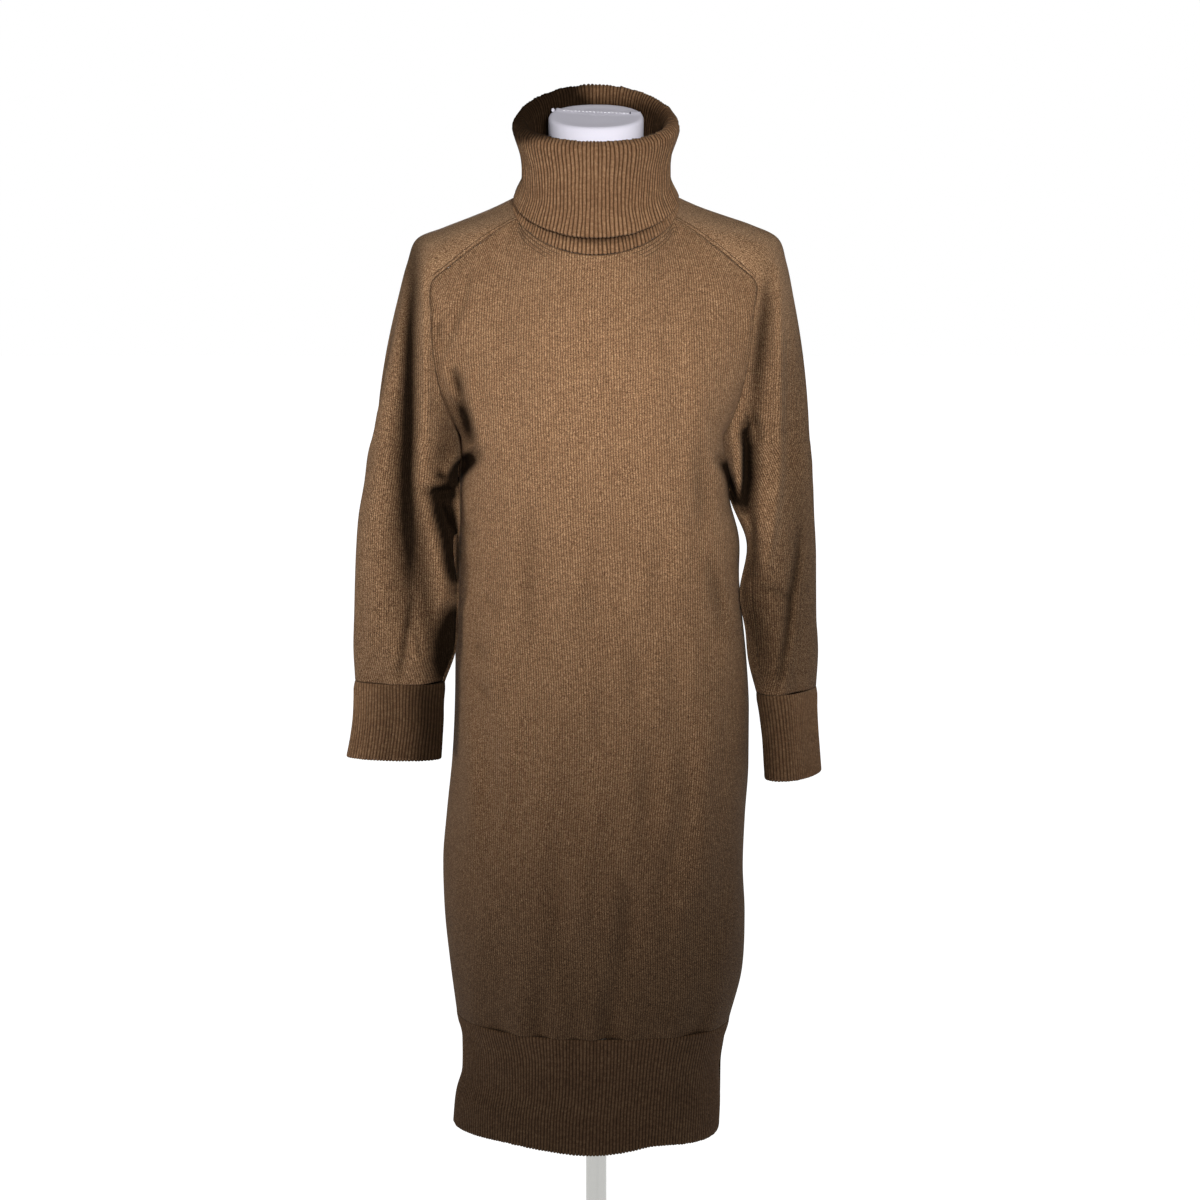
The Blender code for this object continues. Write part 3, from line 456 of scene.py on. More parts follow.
foldLines = {
    # pieces, azimuth they are seen from: half width and height in millimetres (under 0 for a trough),
    # firmness of its sides, points (pixels of the picture, or x and height for other sides)
    ("sleeve_left", 0): (
        (15, 5, 2, (388, 280), (380, 380), (376, 470), (372, 560), (372, 660)),
        (10, -19, 2, (415, 225), (412, 290), (409, 330), (408, 380), (408, 430), (407, 470), (407, 520),
         (409, 570), (411, 625)),
        (11, -7, 2, (400, 390), (397, 440), (397, 480), (396, 530), (398, 580), (399, 640)),
        (5, -8, 2, (410, 600), (405, 640), (399, 682)),
        (6, 7, 2, (427, 290), (427, 380), (425, 440), (422, 480)),
        (10, -7, 2, (441, 440), (438, 462), (438, 480)),
        (12, -10, 2, (416, 495), (420, 540), (424, 580), (428, 620), (430, 660)),
        (9, -30, 2, (428, 491), (438, 494), (448, 494), (457, 492)),
        (8, -20, 3, (434, 498), (438, 515), (444, 535)),
        (11, -34, 3, (445, 500), (448, 530), (452, 560), (456, 588)),
        (15, -24, 2, (456, 600), (449, 630), (444, 655), (438, 692)),
        (6, -12, 2, (434, 474), (439, 477), (445, 480)),
        (3, -5, 2, (415, 628), (417, 645), (421, 660)),
    ),
    ("sleeve_left front", 0): (
        (20, -9, 3, (452, 392), (453, 430), (455, 474)),
        (9, -28, 3, (449, 487), (458, 472), (466, 464), (476, 455)),
        (4, -4, 2, (471, 270), (466, 300), (455, 328), (446, 352)),
        (4, -4, 2, (441, 318), (438, 332), (443, 345)),
        (4, 5, 2, (468, 345), (452, 352), (444, 362), (447, 380), (453, 396), (460, 406)),
        (5, -10, 3, (454, 368), (458, 384), (461, 398)),
        (7, -13, 2, (458, 400), (466, 420), (473, 446)),
    ),
    ("front", 0): (
        (7, 5, 2, (474, 345), (470, 390), (477, 430), (482, 455)),
        (4, -12, 2, (733, 505), (736, 540), (737, 572)),
        (12, 3, 2, (464, 485), (466, 560)),
        (11, -3, 2, (529, 500), (529, 560), (531, 654)),
        (12, 3, 2, (463, 560), (466, 700), (474, 850), (475, 1010)),
        (8, -4, 2, (697, 436), (699, 480), (702, 526)),
        (8, -5, 2, (706, 556), (716, 592), (724, 634)),
        (5, -3, 2, (464, 522), (476, 538)),
        (5, -3, 2, (484, 594), (496, 606)),
        (5, -3, 2, (474, 643), (486, 657)),
        (5, -3, 2, (479, 682), (491, 698)),
    ),
    ("sleeve_right front", 0): (
        (10, -13, 2, (768, 272), (767, 300), (762, 340), (757, 380), (756, 420)),
        (3, -7, 2, (744, 411), (750, 424), (748, 438)),
        (3, -6, 2, (752, 409), (758, 424), (762, 444)),
        (9, 11, 2, (728, 425), (734, 450), (738, 478)),
        (7, -27, 3, (719, 459), (725, 474), (731, 490), (735, 510)),
    ),
    ("sleeve_right", 0): (
        (6, 10, 2, (779, 268), (779, 380), (778, 480), (773, 520), (764, 580)),
        (6, -30, 3, (744, 426), (747, 450), (747, 480), (742, 510)),
        (9, -12, 2, (752, 410), (754, 450), (753, 480), (750, 510), (750, 545), (752, 575)),
        (22, -7, 2, (764, 550), (770, 640), (780, 700)),
        (15, -8, 2, (746, 548), (750, 590), (756, 640), (768, 700)),
        (5, -7, 2, (800, 530), (797, 565), (791, 600), (787, 640), (782, 668), (777, 692)),
        (4, -4, 2, (760, 590), (775, 590), (790, 600)),
        (21, -7, 2, (793, 315), (795, 400), (796, 470), (797, 540), (800, 620), (802, 690)),
    ),
    ("sleeve_left", -90): (
        (14, -6, 2, (-0.045, 0.96), (-0.052, 0.86), (-0.05, 0.72), (-0.055, 0.6)),
        (12, -7, 2, (0.03, 0.98), (0.022, 0.88), (0.004, 0.76), (-0.012, 0.64)),
    ),
    ("sleeve_right", 90): (
        (12, -7, 2, (0.03, 0.97), (0.018, 0.86), (0.006, 0.74), (-0.008, 0.62)),
    ),
    ("back sleeve_left", 180): (
        (10, -10, 2, (0.172, 0.99), (0.16, 0.92), (0.15, 0.85), (0.156, 0.8)),
    ),
    ("back sleeve_right", 180): (
        (10, -10, 2, (-0.165, 0.99), (-0.155, 0.92), (-0.14, 0.85), (-0.147, 0.8)),
    ),
    ("sleeve_left", 180): (
        (12, -8, 2, (0.2, 0.96), (0.203, 0.86), (0.208, 0.74), (0.214, 0.62)),
    ),
    ("sleeve_right", 180): (
        (12, -8, 2, (-0.192, 0.96), (-0.19, 0.86), (-0.196, 0.76), (-0.206, 0.62)),
    ),
    ("back", 180): (
        (16, -5, 2, (0.1, 0.86), (0.085, 0.7), (0.09, 0.52)),
        (16, -5, 2, (-0.095, 0.88), (-0.08, 0.74), (-0.092, 0.6)),
        (18, 4, 2, (0.04, 0.6), (0.036, 0.42), (0.05, 0.2)),
        (16, 4, 2, (-0.06, 0.5), (-0.05, 0.34), (-0.058, 0.18)),
    ),
}

pulls = (
    # pieces, x, height, reach in x, reach in height, moved in x, all in metres
    ("front back", 0.148, 0.795, 0.016, 0.022, 0.006),
    ("front back", 0.160, 0.715, 0.018, 0.034, 0.006),
    ("sleeve_right", 0.160, 0.715, 0.020, 0.036, 0.011),
    ("sleeve_right", 0.160, 0.650, 0.022, 0.030, -0.008),
)


def pulled(name, grid):
    for pieces, x, height, reachX, reachZ, moved in pulls:
        if name in pieces.split():
            near = ((grid[..., 0] - x) / reachX) ** 2 + ((grid[..., 2] - hemOverFloor - height) / reachZ) ** 2
            grid = grid + np.exp(-near)[..., None] * (moved, 0, 0)
    return grid


# How far points are from a line, and how far along it, as a share.
def distanceTo(points, line):
    line = np.array(line, float)
    reached = lengths(line)
    best = np.full(points.shape[:-1], 1e9)
    along = np.zeros(points.shape[:-1])
    for i, (a, b) in enumerate(zip(line, line[1:])):
        d = b - a
        t = np.clip(((points - a) * d).sum(-1) / (d * d).sum(), 0, 1)
        away = np.linalg.norm(points - (a + t[..., None] * d), axis=-1)
        nearer = away < best
        best = np.where(nearer, away, best)
        along = np.where(nearer, (reached[i] + t * np.linalg.norm(d)) / reached[-1], along)
    return best, along


# Slight drags of the cloth, nowhere repeating: wavelengths in metres, heights in metres.
# The bust is stretched smoother than the skirt.
ripples = {
    "seed": 11, "waves": 9, "across": (0.035, 0.110), "upright": (0.18, 0.60),
    "facingFrom": 0.3, "facingOver": 0.5,
    "inSkirt": 0.00140, "overBust": 0.00060, "bustFrom": 0.60, "bustOver": 0.15,
}


def rippled(grid):
    chance = np.random.default_rng(ripples["seed"])
    raised = np.zeros(grid.shape[:2])
    stretched = fade(grid[..., 2] - hemOverFloor, ripples["bustFrom"], ripples["bustOver"])
    most = ripples["inSkirt"] + (ripples["overBust"] - ripples["inSkirt"]) * stretched
    for _ in range(ripples["waves"]):
        across, upright = chance.uniform(*ripples["across"]), chance.uniform(*ripples["upright"])
        leaning = chance.uniform(-1, 1)
        phase, phaseTwo = chance.uniform(0, math.tau), chance.uniform(0, math.tau)
        along = math.tau * (grid[..., 0] / across + leaning * grid[..., 2] / upright) + phase
        raised += np.sin(along) * np.sin(math.tau * grid[..., 2] / upright + phaseTwo) * most
    return raised


# A fold fades where the cloth turns away from its side; the shade painted into its colour is full from this
# depth.
folds = {"fullShade": 0.016, "turning": 3, "shadeBeyond": 0.8, "ends": (0.02, 0.98)}


# The grid with its folds, its new normals, and how much painted shade each point gets from its depth in a
# fold.
def folded(name, grid, flip):
    normals = surfaceNormals(grid, flip)
    pixelSize = -camera["y"] * 2 * math.tan(math.radians(camera["fieldOfView"]) / 2) / camera["pixels"]
    level = fade(np.abs(normals[..., 1]), ripples["facingFrom"], ripples["facingOver"])
    moved = (rippled(grid) * level)[..., None] * (0, -1, 0)
    hollow = np.zeros(grid.shape[:2])
    for (pieces, azimuth), rows in foldLines.items():
        if name not in pieces.split():
            continue
        turn = math.radians(azimuth)
        sight = np.array((math.sin(turn), -math.cos(turn), 0))
        facing = normals @ sight * folds["turning"]
        across = grid @ np.array((math.cos(turn), math.sin(turn), 0))
        places = np.stack([across, grid[..., 2] - hemOverFloor], -1) if azimuth else inPicture(grid)
        for half, height, firmness, *line in rows:
            away, along = distanceTo(places, line)
            away = away * (1 if azimuth else pixelSize) * 1000 / half
            ends = np.sqrt(np.sin(math.pi * np.clip(along, *folds["ends"])))
            raised = height / 1000 * np.exp(-(away**firmness)) * ends
            moved += (raised * np.clip(facing, 0, 1))[..., None] * sight
            # painted shade: the deeper a trough, the darker the cloth's colour, also a little past where it
            # turns away
            shaded = np.clip(facing + folds["shadeBeyond"], 0, 1)
            hollow += np.maximum(-raised, 0) / folds["fullShade"] * shaded
    grid = pulled(name, grid + moved)
    return grid, surfaceNormals(grid, flip), np.clip(hollow, 0, 1)


# Cloth walls

cloth = {
    "thickness": 0.0020, "seamGap": 0.0003,
    # how far an edge rolls in, and the share of it that is left one row further in
    "edgeRoll": 0.0009, "ribEdgeRoll": 0.0003, "rollOneRowIn": 0.35,
}


def addPiece(name, points, edges, faces):
    mesh = bpy.data.meshes.new(name)
    mesh.from_pydata(points, edges, faces)
    mesh.shade_smooth()
    piece = bpy.data.objects.new(name, mesh)
    bpy.context.scene.collection.objects.link(piece)
    return piece


# A closed wall round a grid, with its knit laid out in wales and courses, and other values at its points.
def clothWall(name, grid, wales, courses, flip, **values):
    edgeRoll = cloth["ribEdgeRoll" if "ribPhase" in values else "edgeRoll"]
    roll, inset = np.zeros(grid.shape[:2]), np.zeros_like(grid)
    for swapped in (False, True):
        for way in (1, -1):
            lines, rolled, moved = ((a.swapaxes(0, 1) if swapped else a)[::way] for a in (grid, roll, inset))
            rolled[0] = 1.0
            rolled[1] = np.maximum(rolled[1], cloth["rollOneRowIn"])
            moved[0] += unit(lines[1] - lines[0]) * cloth["seamGap"] / 2
    normals, half = surfaceNormals(grid, flip), cloth["thickness"] / 2
    outer = grid + inset + normals * (half - roll * edgeRoll)[..., None]
    inner = grid + inset - normals * half
    number = np.arange(roll.size).reshape(roll.shape)
    quads = np.stack([number[:-1, :-1], number[:-1, 1:], number[1:, 1:], number[1:, :-1]], -1).reshape(-1, 4)
    loop = np.concatenate([number[0], number[1:, -1], number[-1, -2::-1], number[-2:0:-1, 0]])
    following = np.roll(loop, -1)
    rims = np.stack([following, loop, loop + roll.size, following + roll.size], -1)
    faces = np.concatenate([quads, quads[:, ::-1] + roll.size, rims])[:, :: -1 if flip else 1]
    piece = addPiece(name, np.concatenate([outer, inner]).reshape(-1, 3).tolist(), [], faces.tolist())
    mesh = piece.data
    corner = np.empty(len(mesh.loops), int)
    mesh.loops.foreach_get("vertex_index", corner)
    uv = np.stack([wales, courses], -1).reshape(-1, 2)
    mesh.uv_layers.new(name="knit").data.foreach_set("uv", uv[corner % roll.size].ravel())
    for label, value in {"lineStrength": 1.0, "hollow": 0.0, **values}.items():
        value = np.broadcast_to(value, roll.shape).ravel()
        # the ribs of the inner face lie between those of the outer one
        behind = value + 0.5 if label == "ribPhase" else value
        layer = mesh.attributes.new(label, "FLOAT", "POINT")
        layer.data.foreach_set("value", np.concatenate([value, behind]).astype(np.float32))
    return piece


# Materials and node trees

# An sRGB hex value as the linear colour that the shaders take.
def linear(hexColour):
    parts = [int(hexColour[i : i + 2], 16) / 255 for i in (1, 3, 5)]
    return tuple(p / 12.92 if p <= 0.04045 else ((p + 0.055) / 1.055) ** 2.4 for p in parts) + (1.0,)


# Adds a node, "Math.ADD" naming its operation too, with its inputs as values or links, and gives its outputs.
def addNode(tree, kind, inputs=(), **settings):
    kind, _, operation = kind.partition(".")
    node = tree.nodes.new(kind if "Node" in kind else "ShaderNode" + kind)
    if operation:
        node.operation = operation
    for key, value in settings.items():
        setattr(node, key, value)
    for key, value in inputs.items() if isinstance(inputs, dict) else enumerate(inputs):
        if isinstance(value, bpy.types.NodeSocket):
            tree.links.new(value, node.inputs[key])
        else:
            node.inputs[key].default_value = value
    return node.outputs


# A material whose look, given a way to add nodes, tells the shader's inputs.
def newMaterial(name, look, *details):
    material = bpy.data.materials.new(name)
    material.use_nodes = True
    add = partial(addNode, material.node_tree)
    material.node_tree.nodes.clear()
    shader = add("BsdfPrincipled", look(add, *details))
    add("OutputMaterial", shader[:1])
    return material


# A node tree whose shape is made from its given inputs, and which ends in Realize Instances and Set Material.
def newTree(name, sizes, shape):
    tree = bpy.data.node_groups.new(name, "GeometryNodeTree")
    tree.interface.new_socket("Geometry", in_out="OUTPUT", socket_type="NodeSocketGeometry")
    kinds = {"Geometry": "Geometry", **dict.fromkeys(sizes, "Float"), "Yarn": "Material"}
    for label, kind in kinds.items():
        tree.interface.new_socket(label, in_out="INPUT", socket_type="NodeSocket" + kind)
    add = partial(addNode, tree)
    given = add("NodeGroupInput")
    real = add("GeometryNodeRealizeInstances", shape(add, given)[:1])
    painted = add("GeometryNodeSetMaterial", {"Geometry": real[0], "Material": given["Yarn"]})
    add("NodeGroupOutput", painted[:1])
    return tree


# Runs a node tree on a piece and keeps the result as a plain mesh.
def withNodes(piece, tree, values):
    modifier = piece.modifiers.new("made", "NODES")
    modifier.node_group = tree
    sockets = {s.name: s.identifier for s in tree.interface.items_tree if s.in_out == "INPUT"}
    for name, value in values.items():
        modifier[sockets[name]] = value
    old = piece.data
    mesh = bpy.data.meshes.new_from_object(piece.evaluated_get(bpy.context.evaluated_depsgraph_get()))
    piece.modifiers.remove(modifier)
    piece.data = mesh
    bpy.data.meshes.remove(old)
    mesh.name = piece.name
    return piece


def keepPiece(piece, material=None):
    if material:
        piece.data.materials.append(material)
    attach(piece, "root")
    print("made", piece.name, len(piece.data.polygons), "faces")


def finishSheet(piece, node, material=None):
    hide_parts(node)
    keepPiece(piece, material)


# Yarn

yarn = {
    "dark": "#3b2716",
    "middle": "#74553b",
    "light": "#ad8c6a",
    "fuzz": "#c9b69a",
    # near black of the painted shade in folds and recesses, and how far it goes
    "deep": "#0d0805",
    "deepShade": 0.95,
    "roughness": 0.95,
    "specular": 0.15,
    "sheen": 0.12,
    "sheenRoughness": 0.5,
    "stitchLean": 1.3,
    # noise scales, all but the last in stitches
    "wanderScale": 0.11,
    "cloudScale": 0.06,
    "dashScale": 2.3,
    "dashStretch": 0.16,
    "speckleScale": 900.0,
}
# tone is the yarn's base tone, set lower on the ribbed looks, painted shade; the groove column darkens the
# colour between wales and ribs, painted shade of the grooves
lookColumns = ("tone", "speckles", "flecks", "dashes", "clouds", "groove", "sharpness", "relief", "wander")
looks = {
    "woollen plain knit": (0.62, 1.50, 0.16, 0.08, 0.08, 0.44, 1.0, 0.0009, 0.7),
    "woollen sleeve knit": (0.62, 2.00, 0.20, 0.08, 0.08, 0.42, 1.0, 0.0009, 0.7),
    "woollen rib knit": (0.55, 0.45, 0.12, 0.26, 0.20, 0.95, 2.0, 0.0004, 0.0),
    "woollen soft rib knit": (0.57, 0.70, 0.18, 0.20, 0.14, 0.52, 1.6, 0.0004, 0.0),
}


# Soft marled woollen yarn: columns of leaning stitches, flecks of lighter and darker fibre, a dry fuzzy face
def yarnLook(add, look):
    uv = add("UVMap", uv_map="knit")[0]
    x, y, _ = add("SeparateXYZ", (uv,))
    flat = {"noise_dimensions": "2D"}
    waver = add("TexNoise", {"Vector": uv, "Scale": yarn["wanderScale"], "Detail": 2.0}, **flat)[0]
    waver = add("Math.MULTIPLY_ADD", (waver, look["wander"], -look["wander"] / 2))[0]
    u = add("Math.ADD", (x, waver))[0]
    inWale = add("Math.FRACT", (u,))[0]
    middle = add("Math.SUBTRACT", (inWale, 0.5))[0]
    lean = add("Math.MULTIPLY", (add("Math.ABSOLUTE", (middle,))[0], yarn["stitchLean"]))[0]
    v = add("Math.SUBTRACT", (y, lean))[0]
    inCourse = add("Math.FRACT", (v,))[0]
    ridge, loop = (add("Math.SINE", add("Math.MULTIPLY", (at, math.pi))[:1])[0] for at in (inWale, inCourse))
    stitch = add("CombineXYZ", [add("Math.FLOOR", (place,))[0] for place in (u, v)])[0]
    fleck = add("TexWhiteNoise", {"Vector": stitch}, **flat)[0]
    # dashes that run a few stitches up one wale, as the marled strands do
    stretched = add("CombineXYZ", (u, add("Math.MULTIPLY", (y, yarn["dashStretch"]))[0]))[0]
    dash = add("TexNoise", {"Vector": stretched, "Scale": yarn["dashScale"], "Detail": 1.0}, **flat)[0]
    cloud = add("TexNoise", {"Vector": uv, "Scale": yarn["cloudScale"], "Detail": 3.0}, **flat)[0]
    place = add("TexCoord")["Object"]
    speckle = add("TexNoise", {"Vector": place, "Scale": yarn["speckleScale"], "Detail": 1.0})[0]
    # each varies about the tone of the yarn, by the strength in its column
    fleck, dash, cloud, speckle = (
        add("Math.MULTIPLY_ADD", (chance, look[column], -look[column] / 2))[0]
        for chance, column in ((fleck, "flecks"), (dash, "dashes"), (cloud, "clouds"), (speckle, "speckles"))
    )
    # painted shade in the grooves between wales and ribs
    between = add("Math.POWER", (add("Math.SUBTRACT", (1.0, ridge))[0], look["sharpness"]))[0]
    lined = add("Math.MULTIPLY_ADD", (between, -look["groove"], add("Math.ADD", (fleck, dash))[0]))[0]
    line = add("Attribute", attribute_name="lineStrength")["Fac"]
    lined = add("Math.MULTIPLY", (lined, line))[0]
    tone = add("Math.ADD", (lined, add("Math.ADD", (speckle, cloud))[0]))[0]
    tone = add("Math.ADD", (tone, look["tone"]))
    colour = add("ValToRGB", tone[:1])[0]
    stops = colour.node.color_ramp.elements
    stops.new(0.5)
    for stop, at, shade in zip(stops, (0.0, 0.5, 1.0), ("dark", "middle", "light")):
        stop.position, stop.color = at, linear(yarn[shade])
    # painted shade: in folds and other shaded places the colour goes toward near black, and specular and
    # sheen fall with it
    hollow = add("Attribute", attribute_name="hollow")["Fac"]
    deep = add("Math.MULTIPLY", (hollow, yarn["deepShade"]))[0]
    exposed = add("Math.SUBTRACT", (1.0, deep))[0]
    relief = add("Math.ADD", [add("Math.MULTIPLY", pair)[0] for pair in ((ridge, 0.7), (loop, 0.3))])[0]
    return {
        "Base Color": add("Mix", {0: deep, 6: colour, 7: linear(yarn["deep"])}, data_type="RGBA")[2],
        "Normal": add("Bump", {"Strength": 1.0, "Distance": look["relief"], "Height": relief})[0],
        "Roughness": yarn["roughness"],
        "Specular IOR Level": add("Math.MULTIPLY", (exposed, yarn["specular"]))[0],
        "Sheen Weight": add("Math.MULTIPLY", (exposed, yarn["sheen"]))[0],
        "Sheen Roughness": yarn["sheenRoughness"],
        "Sheen Tint": linear(yarn["fuzz"]),
    }


plainKnit, sleeveKnit, ribKnit, softRibKnit = (
    newMaterial(name, yarnLook, dict(zip(lookColumns, row))) for name, row in looks.items()
)

threads = {
    # the wool's colours are darker than the fabric's, painted shade
    "woollen link stitch": ("#38271a", "#6a5039", 0.95),
    "white polyester thread": ("#f2f2f6", "#ffffff", 0.6),
}


# Thread as it shows on top of the knit: dry and fibrous; the wool is coloured darker than the fabric, painted
# shade of the groove it lies in.
def threadLook(add, dark, light, roughness):
    fibres = add("TexNoise", {"Vector": add("TexCoord")["Object"], "Scale": 700.0, "Detail": 2.0})[0]
    colour = add("Mix", {0: fibres, 6: linear(dark), 7: linear(light)}, data_type="RGBA")[2]
    return {"Base Color": colour, "Roughness": roughness, "Specular IOR Level": 0.15}


woolThread, whiteThread = (newMaterial(name, threadLook, *row) for name, row in threads.items())


# Ribs along the cloth and stitches in rows, by nodes

def ribShape(add, given):
    named = "GeometryNodeInputNamedAttribute"
    phase, raised = (add(named, (label,), data_type="FLOAT")[0] for label in ("ribPhase", "ribRaised"))
    wave = add("Math.SINE", add("Math.MULTIPLY", (phase, math.pi))[:1])
    shaped = add("Math.POWER", (add("Math.ABSOLUTE", wave[:1])[0], given["Sharpness"]))[0]
    lift = add("Math.MULTIPLY", (add("Math.MULTIPLY", (shaped, raised))[0], given["Rib Height"]))[0]
    offset = add("VectorMath.SCALE", {0: add("GeometryNodeInputNormal")[0], "Scale": lift})[0]
    return add("GeometryNodeSetPosition", {"Geometry": given["Geometry"], "Offset": offset})


# Rounded stitches one after another along a line.
def stitchShape(add, given):
    curve = add("GeometryNodeMeshToCurve", {"Mesh": given["Geometry"]})[0]
    places = add("GeometryNodeCurveToPoints", {"Curve": curve, "Length": given["Spacing"]}, mode="LENGTH")
    bead = add("GeometryNodeMeshUVSphere", {"Segments": 6, "Rings": 4, "Radius": 0.5})[:1]
    size = add("CombineXYZ", [given[label] for label in ("Width", "Width", "Length")])[0]
    return add("GeometryNodeInstanceOnPoints", {
        "Points": places["Points"],
        "Instance": add("GeometryNodeSetShadeSmooth", bead)[0],
        "Rotation": places["Rotation"],
        "Scale": size,
    })


raisedRibs = newTree("raised ribs", ("Rib Height", "Sharpness"), ribShape)
stitchRow = newTree("stitches in a row", ("Spacing", "Length", "Width"), stitchShape)


def addStitches(name, rows, sizes, thread):
    points, edges = [], []
    for row in rows:
        edges += [(i, i + 1) for i in range(len(points), len(points) + len(row) - 1)]
        points += [tuple(point) for point in row]
    keepPiece(withNodes(addPiece(name, points, edges, []), stitchRow, {**sizes, "Yarn": thread}))


seams = {
    "stitch": {"Spacing": 0.0021, "Length": 0.0024, "Width": 0.0012},
    "lift": 0.0013,
    # how far the marks stop short of the neckline's corners
    "marksShort": 0.002,
    # metres from the saddle's edge, share of the row that is left out at its lower end
    "links": ((0.0011, 0.0), (0.0046, 0.6)),
    # metres below the neckline, share of it on each side
    "marks": ((0.0010, 1.0), (0.0062, 0.34), (0.0114, 0.30), (0.0166, 0.26)),
}


# Points on a grid's cloth at metres from its edge line, as high as the outer face.
def besideEdge(grid, normals, away):
    rows = zip(lengths(grid, 1), grid + normals * seams["lift"])
    return np.array([[np.interp(away, at, row[:, k]) for k in range(3)] for at, row in rows])


# Front and back panels: wales are wider over the bust, where the knit is stretched

panels = {
    "step": 0.0034, "edge": 0.0014, "edgeShare": 0.35, "edgeClear": 1.6, "spread": 0.015, "seamPoints": 3000,
    "wale": 0.0027, "stretched": 0.0003, "stretchFrom": 0.35, "stretchOver": 0.40, "course": 0.0021,
    "flat": {"front": (0.52, 0.95), "back": (0.52, 1.03)}, "area": 0.44,
}
neckHalf = body["neckline"][0]
lines = {(side, face): seamLine(side, face) for side in sideSign for face in faceSign}
for face in faceSign:
    fine = refined(panelGrid(face), panels["step"])
    for side, mirrored in (("left", fine), ("right", fine[:, ::-1])):
        ontoLine(mirrored, np.s_[:], lines[side, face])
    for side, taken in (("left", fine[-1, :, 0] < -neckHalf), ("right", fine[-1, :, 0] > neckHalf)):
        ontoLine(fine[::-1].swapaxes(0, 1), taken, lines[side, face])
    across, up = knitCoordinates(fine, level=True)
    fine, normals, hollow = folded(face, fine, face == "back")
    neck = np.abs(fine[-1, :, 0]) < neckHalf - seams["marksShort"]
    strips = []
    for away, share in seams["marks"]:
        row = besideEdge(fine[::-1, neck].swapaxes(0, 1), normals[::-1, neck].swapaxes(0, 1), away)
        count = int(len(row) * share)
        strips += [row] if share == 1 else [row[:count], row[-count:]]
    addStitches("neck-marks-" + face, strips, seams["stitch"], woolThread)
    stretch = fade(fine[..., 2] - hemOverFloor, panels["stretchFrom"], panels["stretchOver"])
    wales, courses = across / (panels["wale"] + panels["stretched"] * stretch), up / panels["course"]
    piece = clothWall(face + "-panel", fine, wales, courses, face == "back", hollow=hollow)
    finishSheet(piece, face, material=plainKnit)

# Sleeves: their wales turn over the shoulder and hardly show there

sleeves = {"flat": (0.32, 0.72), "area": 0.15, "fadeFrom": 0.90, "fadeOver": 0.10, "faded": 0.8}
for side in sideSign:
    flip = side == "left"
    fine = refined(sleeveGrid(side), panels["step"], closedRows=sleeveShape["rows"] + 1)
    over = np.linalg.norm(fine[:, 0] - fine[:, -1], axis=1) > 0.0005
    ontoLine(fine, over, lines[side, "front"])
    ontoLine(fine[:, ::-1], over, lines[side, "back"])
    across, up = knitCoordinates(fine)
    fine, normals, hollow = folded("sleeve_" + side, fine, flip)
    for face, way in (("front", 1), ("back", -1)):
        strips = []
        for away, left in seams["links"]:
            row = besideEdge(fine[over, ::way], normals[over, ::way], away)
            strips.append(row[int(len(row) * left) :])
        addStitches("seam-" + side + "-" + face, strips, seams["stitch"], woolThread)
    height = fine[..., 2] - hemOverFloor
    strength = 1 - sleeves["faded"] * fade(height, sleeves["fadeFrom"], sleeves["fadeOver"])
    wales, courses = across / panels["wale"], up / panels["course"]
    piece = clothWall("sleeve-" + side, fine, wales, courses, flip, hollow=hollow, lineStrength=strength)
    finishSheet(piece, "sleeve_" + side, material=sleeveKnit)

# Ribbed pieces: how far each rib strays sideways, alone and with its neighbours, and varies in height

ribbing = {
    "columnsPerRib": 6, "sharpness": 0.45, "jitter": 0.00022, "band": 0.022, "uneven": 0.14,
    "heights": (0.4, 1.5), "steadyRibs": 3,
    "meander": 0.0007, "slowBand": 0.05, "slowRibs": 6, "seamReach": 0.008,
}


# Smooth chance, one value for each rib and each band of its height.
def wander(phase, up, seed, bandHeight=ribbing["band"]):
    chance = np.random.default_rng(seed)
    bands = int(up.max() / bandHeight) + 3
    values = chance.normal(0, 1, (bands, int(np.ceil(phase.max())) + 2))
    band = np.clip(up / bandHeight, 0, bands - 1.001)
    rib = np.clip(phase, 0, values.shape[1] - 1.001)
    low, left = band.astype(int), rib.astype(int)
    share, between = band - low, rib - left
    share = share * share * (3 - 2 * share)
    lower = values[low, left] * (1 - between) + values[low, left + 1] * between
    upper = values[low + 1, left] * (1 - between) + values[low + 1, left + 1] * between
    return lower * (1 - share) + upper * share


# A wall with one rib for each pitch across its middle row.
def ribbedPiece(name, coarse, sizes, closed, flip, material, hollowAt=None):
    ribs = int(round(lengths(coarse, 1)[:, -1].mean() / sizes["pitch"]))
    across = np.linspace(0, 1, ribs * ribbing["columnsPerRib"] + 1)
    fine = refined(coarse, sizes["rowStep"], closedRows=len(coarse) if closed else 0, across=across)
    phase = np.tile(across * ribs, (len(fine), 1))
    _, up = knitCoordinates(fine)
    seed = len(name) + ribs
    slow = wander(phase / ribbing["slowRibs"], up, seed, ribbing["slowBand"])
    shift = wander(phase, up, seed + 1) * ribbing["jitter"] + slow * ribbing["meander"]
    shift = shift * sizes["loose"] * fade(np.minimum(phase, ribs - phase), 0, ribbing["steadyRibs"])
    fine = fine + unit(np.gradient(fine, axis=1)) * shift[..., None]
    uneven = ribbing["uneven"] * sizes["loose"] * wander(phase, up, seed + 2)
    raised = np.clip(1 + uneven, *ribbing["heights"])
    if sizes["seamAtTop"]:
        # drawn in at the seam, where the ribs begin
        raised = raised * fade(up.max() - up, 0, ribbing["seamReach"])
    # painted shade from the piece's own rule, none if it has none
    values = {"hollow": hollowAt(fine, up) if hollowAt else 0.0, "ribPhase": phase, "ribRaised": raised}
    piece = clothWall(name, fine, phase, up / panels["course"], flip, **values)
    relief = {"Rib Height": sizes["ribHeight"], "Sharpness": ribbing["sharpness"], "Yarn": material}
    return withNodes(piece, raisedRibs, relief)


